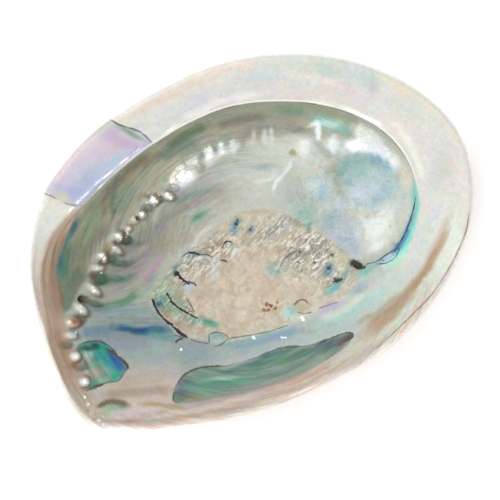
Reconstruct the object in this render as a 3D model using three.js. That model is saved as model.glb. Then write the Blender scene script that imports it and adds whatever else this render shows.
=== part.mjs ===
// Abalone shell, polished, lying on its back with its opening up.
// Millimetres, +Z up. +X points to the spire end, +Y to the side with the flat shelf.
// Origin: on the resting plane, under the middle of the shell's outline.
//
// The shell is one closed skin. Around a hub inside the bowl stand RAYS directions. On each
// one a smooth curve runs from the hub over the floor, up the wall, round the lip, out over
// the shelf to the rim, and down the back to the middle of the resting flat.

import * as THREE from 'three';

// ---- driving dimensions ----
const HUB = new THREE.Vector2(-5, -8); // middle of the bowl, where the rays start
const REST = new THREE.Vector2(-2.5, 9.5); // middle of the resting flat, under the centre of mass
const RIM_HEIGHT = 44; // height of the rim plane over the outline's middle
const RIM_SLOPE = 0.095; // the rim plane rises this much for each mm towards +Y
const FLOOR_HEIGHT = 6; // thickness of the shell over the resting flat
const OPEN_SIDE_POWER = 1.6; // how the open side curves up: 1 is straight, 2 is a parabola
const LIP_THICKNESS = 3.2; // thickness of the free edge of the shelf
const LIP_ROUND = 1.8; // width of the rounded corner on top of the free edge
const RIM_ROUND = 1.6; // width of the rounded corner on top of the rim
const WALL_MIN = 7; // least width of shell between the recess and the rim
const FLAT_SHARE = 0.15; // radius of the resting flat, as a share of the way to the rim
const SPIRE = new THREE.Vector2(50, -16); // middle of the low coiled spire on the back
const SPIRE_SWELL = 2.5; // how far the spire stands out of the back
const SPIRE_SPREAD = 17; // how wide the spire's swelling is
const RAYS = 120;

// Rim outline: direction in degrees, distance from the hub.
const RIM = [
  [-170, 83.5], [-163, 83], [-157, 77.4], [-150, 71.5], [-140, 64], [-125, 58], [-110, 54.7],
  [-95, 53.3], [-80, 55], [-65, 60], [-50, 66.3], [-35, 74.5], [-20, 84], [-8, 89.5],
  [2, 91.5], [12, 90], [30, 84.1], [50, 77.7], [70, 73.1], [85, 71.1], [100, 71.9],
  [120, 75.7], [137, 79.6], [152, 80.6], [168, 79.8], [180, 81.2],
];

// Free edge of the shelf: direction, distance from the hub, drop below the rim.
const LIP = [
  [-150, 46, 20], [-90, 36, 19], [-60, 38, 18.5], [-42, 42, 17.5], [-33, 45.5, 15],
  [-24, 56.5, 10], [-14, 65, 7.5], [-2, 69.5, 6.5], [10, 70, 6], [23, 67, 5.2],
  [43, 61.2, 5], [64, 57.2, 5], [85, 54.7, 5], [106, 55.6, 5], [125, 60.6, 5],
  [143, 69.5, 4.5], [158, 75.6, 3.5], [190, 78.6, 3.5], [200, 68, 10],
];

// Foot of the wall, where the row of pores runs: direction, distance from the hub, height.
const WALL_FOOT = [
  [-170, 62, 32], [-150, 47, 21], [-120, 30, 12], [-90, 26, 11.5], [-60, 29, 11.5],
  [-42, 32, 11.8], [-25, 45, 12.6], [-10, 54, 13.6], [12, 57.5, 14], [33, 53.5, 13.2],
  [47, 49, 12.8], [63, 44.3, 12.8], [83, 40.5, 13.4], [112, 40.5, 15], [133, 45.3, 18],
  [148, 53, 21.5], [162, 61, 28], [176, 66, 33],
];

// How far the wall is hollowed out behind the free edge: direction, distance.
const UNDERCUT = [
  [-90, 0], [-45, 0], [-33, 1], [-20, 5], [-5, 7.5], [15, 8], [35, 7.5], [60, 6],
  [85, 3.5], [105, 0.5], [125, -3], [145, -5], [165, -3], [200, -2],
];

// How full the back is: direction, power. 2 is a parabola, 4 is nearly a box.
const BACK_FULLNESS = [
  [-150, 2.8], [-120, 2.4], [-90, 2.3], [-60, 2.4], [-35, 2.7], [-10, 3.2], [15, 3.5],
  [45, 3.4], [75, 3.2], [110, 3.1], [150, 3.4], [180, 3.2],
];

// Height of the rounded outer edge of the rim: direction, height.
const EDGE = [[-100, 3.2], [-40, 3.4], [0, 4.4], [90, 4.4], [150, 3.6], [200, 3]];

// The free lip stands between these directions; beyond them the bowl runs straight to the rim.
const LIP_SPAN = { begins: [-40, -27], ends: [142, 170] };
// The deep part of the floor spreads over these directions, with softer ends.
const FLOOR_SPAN = { begins: [-75, -15], ends: [115, 185] };

// Points of the back, as shares of the way from the resting flat's middle to the rim.
const BACK_SHARES = [0.985, 0.93, 0.86, 0.78, 0.69, 0.59, 0.48, 0.36, 0.24, FLAT_SHARE, 0];

// Steps along each stretch of the curve between two of its points.
const FLOOR_STEPS = [2, 3, 3];
const WALL_AND_SHELF_STEPS = [2, 2, 2, 2, 2, 2, 2, 2];
const RIM_STEPS = [1, 1];
const BACK_STEPS = [1, 1, 1, 1, 1, 1, 1, 1, 1, 1];
const STEPS = [...FLOOR_STEPS, ...WALL_AND_SHELF_STEPS, ...RIM_STEPS, ...BACK_STEPS];

// ---- helpers ----

// A smooth closed curve through the knots [direction, value, ...], read at any direction.
function aroundHub(knots) {
  const count = knots.length;
  const at = (i) => {
    const turns = Math.floor(i / count);
    const [direction, ...values] = knots[i - turns * count];
    return { direction: direction + 360 * turns, values };
  };
  const slope = (i, k) => {
    const before = at(i - 1);
    const after = at(i + 1);
    return (after.values[k] - before.values[k]) / (after.direction - before.direction);
  };
  return (direction) => {
    const turned = THREE.MathUtils.euclideanModulo(direction - knots[0][0], 360) + knots[0][0];
    let i = 0;
    while (at(i + 1).direction <= turned) i += 1;
    const from = at(i);
    const to = at(i + 1);
    const width = to.direction - from.direction;
    const s = (turned - from.direction) / width;
    return from.values.map((value, k) => {
      const rise = (2 * s ** 3 - 3 * s ** 2 + 1) * value + (3 * s ** 2 - 2 * s ** 3) * to.values[k];
      const lean = (s ** 3 - 2 * s ** 2 + s) * slope(i, k) + (s ** 3 - s ** 2) * slope(i + 1, k);
      return rise + lean * width;
    });
  };
}

const rimAt = aroundHub(RIM);
const lipAt = aroundHub(LIP);
const wallFootAt = aroundHub(WALL_FOOT);
const undercutAt = aroundHub(UNDERCUT);
const fullnessAt = aroundHub(BACK_FULLNESS);
const edgeAt = aroundHub(EDGE);

// 1 inside a span of directions, 0 outside it, with smooth ends.
function shareOf(span, direction) {
  const turned = THREE.MathUtils.euclideanModulo(direction + 90, 360) - 90;
  const begun = THREE.MathUtils.smoothstep(turned, ...span.begins);
  return begun * (1 - THREE.MathUtils.smoothstep(turned, ...span.ends));
}

function spireSwell(x, y) {
  const away = SPIRE.distanceTo(new THREE.Vector2(x, y));
  return SPIRE_SWELL * Math.exp(-((away / SPIRE_SPREAD) ** 2));
}

// ---- the curve of one direction ----

// Distance and height of the points up the wall, round the lip and over the shelf.
function lipPoints(foot, lip, undercut, rim) {
  const wall = Math.min(lip.radius + undercut, rim.radius - WALL_MIN);
  const under = lip.height - LIP_THICKNESS;
  const climb = under - foot.height;
  const shelf = rim.radius - RIM_ROUND - lip.radius;
  const rise = rim.height - lip.height;
  return [
    [foot.radius + 0.62 * (wall - foot.radius), foot.height + 0.33 * climb],
    [wall, foot.height + 0.74 * climb],
    [lip.radius + 0.35 * undercut, under],
    [lip.radius, lip.height - 0.55 * LIP_THICKNESS],
    [lip.radius + LIP_ROUND, lip.height],
    [lip.radius + 0.36 * shelf, lip.height + 0.34 * rise],
    [lip.radius + 0.72 * shelf, lip.height + 0.74 * rise],
  ];
}

// The same number of points, spread over the plain slope of the open side.
function openPoints(foot, rim, count) {
  const reach = rim.radius - RIM_ROUND - foot.radius;
  return Array.from({ length: count }, (_, i) => {
    const radius = foot.radius + (reach * (i + 1)) / (count + 1);
    return [radius, openHeight(radius, rim)];
  });
}

function openHeight(radius, rim) {
  return FLOOR_HEIGHT + (rim.height - FLOOR_HEIGHT) * (radius / rim.radius) ** OPEN_SIDE_POWER;
}

function backPoint(share, rimPoint, edge, fullness) {
  const x = REST.x + share * (rimPoint.x - REST.x);
  const y = REST.y + share * (rimPoint.y - REST.y);
  const climb = Math.max(0, (share - FLAT_SHARE) / (BACK_SHARES[0] - FLAT_SHARE));
  const height = (rimPoint.z - edge) * climb ** fullness;
  return new THREE.Vector3(x, y, Math.max(0, height - spireSwell(x, y)));
}

function curveAlong(direction) {
  const turn = THREE.MathUtils.degToRad(direction);
  const place = (radius, z) => {
    const x = HUB.x + radius * Math.cos(turn);
    const y = HUB.y + radius * Math.sin(turn);
    return new THREE.Vector3(x, y, z);
  };
  const [rimRadius] = rimAt(direction);
  const rimHeight = RIM_HEIGHT + RIM_SLOPE * (HUB.y + rimRadius * Math.sin(turn));
  const rim = { radius: rimRadius, height: rimHeight };
  const [lipRadius, drop] = lipAt(direction);
  const lip = { radius: lipRadius, height: rimHeight - drop };
  const [footRadius, wallFootHeight] = wallFootAt(direction);
  const deep = shareOf(FLOOR_SPAN, direction);
  const footHeight = THREE.MathUtils.lerp(openHeight(footRadius, rim), wallFootHeight, deep);
  const foot = { radius: footRadius, height: footHeight };
  const footRise = footHeight - FLOOR_HEIGHT;
  const [edge] = edgeAt(direction);

  const free = shareOf(LIP_SPAN, direction);
  const lipSide = lipPoints(foot, lip, undercutAt(direction)[0], rim);
  const openSide = openPoints(foot, rim, lipSide.length);
  const middle = lipSide.map(([radius, height], i) => place(
    THREE.MathUtils.lerp(openSide[i][0], radius, free),
    THREE.MathUtils.lerp(openSide[i][1], height, free),
  ));
  const rimPoint = place(rimRadius, rimHeight);
  return [
    place(0, FLOOR_HEIGHT),
    place(0.33 * footRadius, FLOOR_HEIGHT + 0.13 * footRise),
    place(0.68 * footRadius, FLOOR_HEIGHT + 0.47 * footRise),
    place(footRadius, footHeight),
    ...middle,
    place(rimRadius - RIM_ROUND, rimHeight),
    place(rimRadius, rimHeight - 0.45 * edge),
    ...BACK_SHARES.map((share) => backPoint(share, rimPoint, edge, fullnessAt(direction)[0])),
  ];
}

// The point on the far side of a pole, so that the skin crosses the pole level.
function across(pole, point) {
  return new THREE.Vector3(2 * pole.x - point.x, 2 * pole.y - point.y, point.z);
}

function ringsAlong(direction) {
  const points = curveAlong(direction);
  const last = points.length - 1;
  const before = across(points[0], points[1]);
  const after = across(points[last], points[last - 1]);
  const curve = new THREE.CatmullRomCurve3([before, ...points, after], false, 'centripetal');
  const spans = points.length + 1;
  const rings = STEPS.flatMap((steps, span) => Array.from(
    { length: steps },
    (_, i) => curve.getPoint((span + 1 + i / steps) / spans),
  ));
  return [...rings, points[last]];
}

// ---- the skin ----

function shellGeometry() {
  const rays = Array.from({ length: RAYS }, (_, i) => ringsAlong((360 * i) / RAYS));
  const rings = rays[0].length - 2;
  const corners = [rays[0][0], ...rays.flatMap((ray) => ray.slice(1, -1)), rays[0][rings + 1]];
  const corner = (ray, ring) => 1 + (ray % RAYS) * rings + ring;
  const hub = 0;
  const base = corners.length - 1;
  const faces = [];
  for (let ray = 0; ray < RAYS; ray += 1) {
    faces.push(hub, corner(ray, 0), corner(ray + 1, 0));
    for (let ring = 0; ring < rings - 1; ring += 1) {
      const a = corner(ray, ring);
      const b = corner(ray, ring + 1);
      const c = corner(ray + 1, ring + 1);
      const d = corner(ray + 1, ring);
      faces.push(a, b, c, a, c, d);
    }
    faces.push(corner(ray, rings - 1), base, corner(ray + 1, rings - 1));
  }
  const geometry = new THREE.BufferGeometry().setFromPoints(corners);
  geometry.setIndex(faces);
  geometry.computeBoundingBox();
  const middle = geometry.boundingBox.getCenter(new THREE.Vector3());
  geometry.translate(-middle.x, -middle.y, -geometry.boundingBox.min.z);
  geometry.computeVertexNormals();
  return geometry;
}

const nacre = new THREE.MeshStandardMaterial({ color: 0xe9dfcb, roughness: 0.25, metalness: 0.1 });

const shell = new THREE.Mesh(shellGeometry(), nacre);
shell.name = 'shell';

const abalone = new THREE.Group();
abalone.add(shell);

export default abalone;
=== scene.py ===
"""Abalone shell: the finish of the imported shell, with its floor, lights and camera.

The skin repeats the CAD shell's curves at a finer step and adds the fine relief: the knobs and
pores at the wall's foot, the wrinkled muscle scar, growth steps, layered lip and ribbed back.
Lengths in the shape's and markings' parts are millimetres in the outline's own plan, with the
hub at HUB; place_in_frame() moves the finished skin into the frame, in metres.
"""
import math
import bpy
import numpy as np
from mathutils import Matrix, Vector


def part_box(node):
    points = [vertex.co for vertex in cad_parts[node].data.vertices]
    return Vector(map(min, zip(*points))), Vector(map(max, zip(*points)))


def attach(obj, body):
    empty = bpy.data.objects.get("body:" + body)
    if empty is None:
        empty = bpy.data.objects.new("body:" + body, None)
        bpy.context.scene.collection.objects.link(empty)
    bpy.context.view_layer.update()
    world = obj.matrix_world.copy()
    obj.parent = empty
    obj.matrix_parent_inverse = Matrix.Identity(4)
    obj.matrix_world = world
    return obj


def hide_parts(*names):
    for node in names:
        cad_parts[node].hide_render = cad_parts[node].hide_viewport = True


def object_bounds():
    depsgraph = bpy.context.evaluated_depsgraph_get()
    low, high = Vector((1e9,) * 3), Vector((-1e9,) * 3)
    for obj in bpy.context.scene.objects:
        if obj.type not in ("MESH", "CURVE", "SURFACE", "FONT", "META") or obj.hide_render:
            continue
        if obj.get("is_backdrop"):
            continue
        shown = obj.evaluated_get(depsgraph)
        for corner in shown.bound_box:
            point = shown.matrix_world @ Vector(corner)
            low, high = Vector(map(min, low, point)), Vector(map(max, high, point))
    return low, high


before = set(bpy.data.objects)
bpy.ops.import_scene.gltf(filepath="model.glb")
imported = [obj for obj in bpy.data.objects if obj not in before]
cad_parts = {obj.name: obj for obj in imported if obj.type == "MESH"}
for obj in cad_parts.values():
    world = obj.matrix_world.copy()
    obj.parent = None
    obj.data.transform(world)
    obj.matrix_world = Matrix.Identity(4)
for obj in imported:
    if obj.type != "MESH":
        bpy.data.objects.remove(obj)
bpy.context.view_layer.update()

# ---- driving dimensions, as in the CAD source ----
HUB = np.array([-5.0, -8.0])
REST = np.array([-2.5, 9.5])
RIM_HEIGHT = 44.0
RIM_SLOPE = 0.095
FLOOR_HEIGHT = 6.0
OPEN_SIDE_POWER = 1.6
LIP_THICKNESS = 3.2
LIP_ROUND = 1.8
RIM_ROUND = 1.6
WALL_MIN = 7.0
FLAT_SHARE = 0.15
SPIRE = np.array([50.0, -16.0])
SPIRE_SWELL = 2.5
SPIRE_SPREAD = 17.0

# direction in degrees, distance from the hub
RIM = [
    (-170, 83.5), (-163, 83), (-157, 77.4), (-150, 71.5), (-140, 64), (-125, 58), (-110, 54.7),
    (-95, 53.3), (-80, 55), (-65, 60), (-50, 66.3), (-35, 74.5), (-20, 84), (-8, 89.5),
    (2, 91.5), (12, 90), (30, 84.1), (50, 77.7), (70, 73.1), (85, 71.1), (100, 71.9),
    (120, 75.7), (137, 79.6), (152, 80.6), (168, 79.8), (180, 81.2),
]
# direction, distance from the hub, drop below the rim
LIP = [
    (-150, 46, 20), (-90, 36, 19), (-60, 38, 18.5), (-42, 42, 17.5), (-33, 45.5, 15),
    (-24, 56.5, 10), (-14, 65, 7.5), (-2, 69.5, 6.5), (10, 70, 6), (23, 67, 5.2),
    (43, 61.2, 5), (64, 57.2, 5), (85, 54.7, 5), (106, 55.6, 5), (125, 60.6, 5),
    (143, 69.5, 4.5), (158, 75.6, 3.5), (190, 78.6, 3.5), (200, 68, 10),
]
# direction, distance from the hub, height
WALL_FOOT = [
    (-170, 62, 32), (-150, 47, 21), (-120, 30, 12), (-90, 26, 11.5), (-60, 29, 11.5),
    (-42, 32, 11.8), (-25, 45, 12.6), (-10, 54, 13.6), (12, 57.5, 14), (33, 53.5, 13.2),
    (47, 49, 12.8), (63, 44.3, 12.8), (83, 40.5, 13.4), (112, 40.5, 15), (133, 45.3, 18),
    (148, 53, 21.5), (162, 61, 28), (176, 66, 33),
]
# direction, how far the wall is hollowed out behind the lip
UNDERCUT = [
    (-90, 0), (-45, 0), (-33, 1), (-20, 5), (-5, 7.5), (15, 8), (35, 7.5), (60, 6),
    (85, 3.5), (105, 0.5), (125, -3), (145, -5), (165, -3), (200, -2),
]
# direction, power of the back's curve
BACK_FULLNESS = [
    (-150, 2.8), (-120, 2.4), (-90, 2.3), (-60, 2.4), (-35, 2.7), (-10, 3.2), (15, 3.5),
    (45, 3.4), (75, 3.2), (110, 3.1), (150, 3.4), (180, 3.2),
]
# direction, height of the rim's rounded edge
EDGE = [(-100, 3.2), (-40, 3.4), (0, 4.4), (90, 4.4), (150, 3.6), (200, 3)]
LIP_SPAN = ((-40, -27), (142, 170))
LIP_HIGHLIGHT_SPAN = ((-20, 12), (106, 118))  # where a painted highlight runs along the lip's edge
LIP_SHADE_SPAN = ((-16, 16), (88, 102))  # where painted shade lies under that edge
FLOOR_SPAN = ((-75, -15), (115, 185))
BACK_SHARES = (0.985, 0.93, 0.86, 0.78, 0.69, 0.59, 0.48, 0.36, 0.24, FLAT_SHARE, 0.0)

# ---- fineness of the visible skin ----
RAYS = 540
CROWDING = 0.35  # rays stand closer together around CROWDED_AT, where the knobs are
CROWDED_AT = 150.0
FLOOR_STEPS = (24, 26, 30)
WALL_STEPS = (9, 6, 4, 4, 4)
SHELF_STEPS = (5, 5, 5)
RIM_STEPS = (4, 4)
BACK_STEPS = (4, 5, 6, 6, 6, 6, 6, 5, 4, 3)
STEPS = FLOOR_STEPS + WALL_STEPS + SHELF_STEPS + RIM_STEPS + BACK_STEPS
NOSE_RING = sum(FLOOR_STEPS) + sum(WALL_STEPS[:4])  # the lip's nose, where the bowl ends
RIM_RING = sum(FLOOR_STEPS + WALL_STEPS + SHELF_STEPS) + RIM_STEPS[0]  # where the back begins
OUTLINE_STEP = 0.7  # mm between the points of a drawn line
STREAK_STEP = 2.0  # mm between the points of a streak's middle line

# ---- fine relief and streaks ----
SPIRE_HOLLOW = (50, -2, 12.5, 11.5, -8)  # x, y, half length, half width, turn
CALM_SPIRE = (44, -6, 24, 22)  # no growth streaks here
CURDLED = (40, -4, 28, 20, 10)  # the nacre is curdled here
FANNED = (-49, 2, 24, 17, -10)  # the streaks fan out from FAN_START here
KNOB_SHARE = 0.8  # of the rise in KNOBS that stands out of the wall
PORES_OUTSIDE = 9  # so many of the first HOLLOWS show on the back, as raised pores
GROWTH_STEPS = 9.0  # steps on the back each time its outline shrinks to 1/e
RIBS = 34  # ribs around the back
SPIRAL_TWIST = 0.9  # radians the back's outline turns each time it shrinks to 1/e
FLOW_REACH = 14.0  # mm: how fast streaks change around the hub, against 1 across them
FAN_START = (-83.0, 12.0, 0.0)  # mm: the left floor's streaks spread from here
FAN_REACH = 35.0  # mm from there, where they are as wide as the others
SQUIGGLE_TURN = -18.0  # degrees that undo the lean of the scar's ridges from +X
LINE_EDGE = 0.17  # mm over which a line's ink fades
BUMP_DEPTH = 0.0004  # metres

# ---- light and camera ----
WORLD_LIGHT = 0.52
# name, azimuth, elevation, distance, size, power, whether it is mirrored in the shell
LIGHTS = [
    ("overhead", 100, 75, 1.4, 0.9, 9.5, False),
    ("spire_fill", 215, 42, 1.1, 0.5, 3.2, False),
    ("left_fill", 120, 30, 1.1, 0.30, 3.0, False),
    ("front_glint", -80, 25, 1.1, 0.18, 1.2, True),
    ("spire_glint", 226, 22, 1.1, 0.22, 1.1, True),
]
FLOOR_REACH = 1.5  # metres
FLOOR_GAP = 0.0002  # metres between the floor and the shell's flat
CAMERA_TURN = -30.0  # the picture's right lies this way in the frame, in degrees
VIEW_WIDTH = 0.1835  # width of the view at the rim, in metres
VIEW_SHIFT = (-0.0069, -0.0417)  # the view's middle from the shell's, in shares of the shell's size
CAMERA_DISTANCE = 2.5
SENSOR_WIDTH = 36.0


# ---- curves ----

def smoothstep(low, high, value):
    t = np.clip((value - low) / (high - low), 0.0, 1.0)
    return t * t * (3.0 - 2.0 * t)


def around_hub(knots):
    """A smooth closed curve through the knots (direction, value, ...), read at any directions."""
    table = np.array(knots, float)
    angles, values = table[:, 0], table[:, 1:]
    angles = np.concatenate([angles[-2:] - 360, angles, angles[:3] + 360])
    values = np.concatenate([values[-2:], values, values[:3]])
    slopes = (values[2:] - values[:-2]) / (angles[2:] - angles[:-2])[:, None]

    def read(directions):
        turned = (np.asarray(directions, float) - table[0, 0]) % 360 + table[0, 0]
        i = np.clip(np.searchsorted(angles, turned, side="right") - 1, 1, len(angles) - 3)
        width = (angles[i + 1] - angles[i])[:, None]
        s = (turned - angles[i])[:, None] / width
        start = (2 * s**3 - 3 * s**2 + 1) * values[i] + (s**3 - 2 * s**2 + s) * width * slopes[i - 1]
        end = (3 * s**2 - 2 * s**3) * values[i + 1] + (s**3 - s**2) * width * slopes[i]
        return (start + end).T

    return read


def centripetal(points, steps):
    """Centripetal Catmull-Rom curves along axis 1, which holds one extra point at each end."""
    rings = []
    for span, count in enumerate(steps):
        p0, p1, p2, p3 = (points[:, span + k] for k in range(4))
        d0, d1, d2 = (
            np.maximum(np.linalg.norm(b - a, axis=1), 1e-8)[:, None] ** 0.5
            for a, b in ((p0, p1), (p1, p2), (p2, p3))
        )
        m1 = ((p1 - p0) / d0 - (p2 - p0) / (d0 + d1) + (p2 - p1) / d1) * d1
        m2 = ((p2 - p1) / d1 - (p3 - p1) / (d1 + d2) + (p3 - p2) / d2) * d1
        for s in np.arange(count) / count:
            start = (2 * s**3 - 3 * s**2 + 1) * p1 + (s**3 - 2 * s**2 + s) * m1
            end = (3 * s**2 - 2 * s**3) * p2 + (s**3 - s**2) * m2
            rings.append(start + end)
    rings.append(points[:, -2])
    return np.stack(rings, 1)


def share_of(span, directions):
    """1 inside a span of directions, 0 outside it, with smooth ends."""
    turned = (directions + 90) % 360 - 90
    return smoothstep(*span[0], turned) * (1 - smoothstep(*span[1], turned))


def spire_swell(x, y):
    away = np.hypot(x - SPIRE[0], y - SPIRE[1])
    return SPIRE_SWELL * np.exp(-((away / SPIRE_SPREAD) ** 2))


def skin_points(directions):
    """The shell's smooth skin: an array of rays by rings by xyz."""
    turn = np.radians(directions)
    out = np.stack([np.cos(turn), np.sin(turn)], 1)
    one = np.ones(len(turn))

    def place(radius, height):
        return np.column_stack([HUB + (radius * one)[:, None] * out, height * one])

    rim, = around_hub(RIM)(directions)
    rim_height = RIM_HEIGHT + RIM_SLOPE * (HUB[1] + rim * out[:, 1])
    lip, drop = around_hub(LIP)(directions)
    lip_height = rim_height - drop
    foot, wall_foot_height = around_hub(WALL_FOOT)(directions)
    undercut, = around_hub(UNDERCUT)(directions)
    fullness, = around_hub(BACK_FULLNESS)(directions)
    edge, = around_hub(EDGE)(directions)

    def open_height(radius):
        return FLOOR_HEIGHT + (rim_height - FLOOR_HEIGHT) * (radius / rim) ** OPEN_SIDE_POWER

    deep = share_of(FLOOR_SPAN, directions)
    foot_height = open_height(foot) * (1 - deep) + wall_foot_height * deep
    foot_rise = foot_height - FLOOR_HEIGHT
    wall = np.minimum(lip + undercut, rim - WALL_MIN)
    under = lip_height - LIP_THICKNESS
    climb = under - foot_height
    shelf = rim - RIM_ROUND - lip
    lip_side = [
        (foot + 0.62 * (wall - foot), foot_height + 0.33 * climb),
        (wall, foot_height + 0.74 * climb),
        (lip + 0.35 * undercut, under),
        (lip, lip_height - 0.55 * LIP_THICKNESS),
        (lip + LIP_ROUND, lip_height),
        (lip + 0.36 * shelf, lip_height + 0.34 * drop),
        (lip + 0.72 * shelf, lip_height + 0.74 * drop),
    ]
    free = share_of(LIP_SPAN, directions)
    reach = rim - RIM_ROUND - foot
    middle = []
    for i, (radius, height) in enumerate(lip_side):
        open_radius = foot + reach * (i + 1) / (len(lip_side) + 1)
        open_z = open_height(open_radius)
        radius = open_radius * (1 - free) + radius * free
        height = open_z * (1 - free) + height * free
        middle.append(place(radius, height))

    rim_point = place(rim, rim_height)
    back = []
    for share in BACK_SHARES:
        plan = REST + share * (rim_point[:, :2] - REST)
        rise = max(0.0, (share - FLAT_SHARE) / (BACK_SHARES[0] - FLAT_SHARE))
        height = (rim_height - edge) * rise**fullness - spire_swell(plan[:, 0], plan[:, 1])
        back.append(np.column_stack([plan, np.maximum(height, 0.0)]))
    points = [
        place(0, FLOOR_HEIGHT),
        place(0.33 * foot, FLOOR_HEIGHT + 0.13 * foot_rise),
        place(0.68 * foot, FLOOR_HEIGHT + 0.47 * foot_rise),
        place(foot, foot_height),
        *middle,
        place(rim - RIM_ROUND, rim_height),
        place(rim, rim_height - 0.45 * edge),
        *back,
    ]

    def across(pole, point):
        return np.column_stack([2 * pole[:, :2] - point[:, :2], point[:, 2]])

    points = [across(points[0], points[1]), *points, across(points[-1], points[-2])]
    return centripetal(np.stack(points, 1), STEPS)


# ---- where things are on the shell, in plan, in millimetres ----

def smooth_line(points, closed=False, step=OUTLINE_STEP):
    """A finely stepped Catmull-Rom line through given points."""
    p = np.array(points, float)
    if closed:
        p = np.concatenate([p[-1:], p, p[:2]])
    else:
        p = np.concatenate([2 * p[:1] - p[1:2], p, 2 * p[-1:] - p[-2:-1]])
    line = []
    for i in range(1, len(p) - 2):
        count = max(2, int(np.linalg.norm(p[i + 1] - p[i]) / step))
        t = (np.arange(count) / count)[:, None]
        a = 2 * p[i]
        b = p[i + 1] - p[i - 1]
        c = 2 * p[i - 1] - 5 * p[i] + 4 * p[i + 1] - p[i + 2]
        d = 3 * p[i] - p[i - 1] - 3 * p[i + 1] + p[i + 2]
        line.append(0.5 * (a + b * t + c * t**2 + d * t**3))
    line.append(p[-2:-1])
    return np.concatenate(line)


def distance_to(line, x, y):
    """Signed distance to a line, positive on its left, and how far along it, from 0 to 1."""
    best = np.full(x.shape, 1e9)
    side = np.ones(x.shape)
    along = np.zeros(x.shape)
    last = len(line) - 1
    for i in range(last):
        ax, ay = line[i]
        dx, dy = line[i + 1] - line[i]
        t = np.clip(((x - ax) * dx + (y - ay) * dy) / (dx * dx + dy * dy + 1e-12), 0.0, 1.0)
        gap = np.hypot(x - ax - t * dx, y - ay - t * dy)
        nearer = gap < best
        best = np.where(nearer, gap, best)
        side = np.where(nearer, np.sign(dx * (y - ay) - dy * (x - ax)), side)
        along = np.where(nearer, (i + t) / last, along)
    return best * np.where(side == 0, 1.0, side), along


def depth_inside(outline, x, y):
    """Distance to a closed outline, positive inside it. Only near points are measured."""
    line = smooth_line(outline, closed=True)
    low, high = line.min(0) - 6, line.max(0) + 6
    near = (x > low[0]) & (x < high[0]) & (y > low[1]) & (y < high[1])
    depth = np.full(x.shape, -6.0)
    px, py = x[near], y[near]
    gap, _ = distance_to(line, px, py)
    inside = np.zeros(px.shape, bool)
    for (ax, ay), (bx, by) in zip(line[:-1], line[1:]):
        crosses = (ay > py) != (by > py)
        with np.errstate(divide="ignore", invalid="ignore"):
            inside ^= crosses & (px < (bx - ax) * (py - ay) / (by - ay) + ax)
    depth[near] = np.where(inside, np.abs(gap), -np.abs(gap))
    return depth


def oval(x, y, cx, cy, long, wide, turn=0.0):
    """Squared distance from a turned oval's middle, 1 on its edge."""
    c, s = math.cos(math.radians(turn)), math.sin(math.radians(turn))
    u = (x - cx) * c + (y - cy) * s
    v = (y - cy) * c - (x - cx) * s
    return (u / long) ** 2 + (v / wide) ** 2


def soft_noise(x, y, size, seed):
    """Smooth noise from -1 to 1 with features about `size` mm wide, the same on every run."""
    grid = np.random.default_rng(seed).uniform(-1.0, 1.0, (64, 64))
    u, v = x / size + 32.5, y / size + 32.5
    i, j = np.floor(u).astype(int), np.floor(v).astype(int)
    fu, fv = u - i, v - j
    fu, fv = fu * fu * (3 - 2 * fu), fv * fv * (3 - 2 * fv)
    corner = [[grid[(i + a) % 64, (j + b) % 64] for b in (0, 1)] for a in (0, 1)]
    low = corner[0][0] * (1 - fv) + corner[0][1] * fv
    high = corner[1][0] * (1 - fv) + corner[1][1] * fv
    return low * (1 - fu) + high * fu


SCAR = [
    (-43, -2), (-42, -12), (-39, -20), (-30, -28), (-20, -32), (-10, -35), (0, -36.5), (10, -37), (20, -38),
    (28, -35), (30, -29), (27, -19), (22, -9), (17, 0), (10, 6), (0, 9.5), (-10, 9), (-20, 6.5), (-30, 4),
    (-38, 1),
]
GREEN_PATCH = [
    (-53.8, -38.2), (-49.4, -34.2), (-45, -32.6), (-40, -33.3), (-35, -35.3), (-30, -38), (-20, -40.5),
    (-10, -42), (0, -46.5), (10, -48.3), (15, -49.5), (15.5, -51.5), (8, -53.5), (0, -53.8), (-10, -53.2),
    (-20, -51.5), (-30, -49), (-40, -45.5), (-48, -42.6), (-52.6, -40.6),
]
TEAL_PATCH = [
    (-74, -4), (-70, -4.5), (-66, -7), (-64, -11), (-63.4, -16), (-62, -19.4), (-65, -21.2), (-68, -22.5),
    (-72, -21), (-78, -20), (-75.5, -15), (-74.5, -10), (-75, -6),
]
LAVENDER_PATCH = [
    (-56.5, 51), (-53, 46), (-50, 42), (-46, 40), (-40, 41), (-30, 43.5), (-20, 45), (-13.6, 46),
    (-14.2, 51), (-16, 54), (-20, 58.5), (-24, 63), (-35, 62), (-48, 58), (-58, 54),
]
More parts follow.
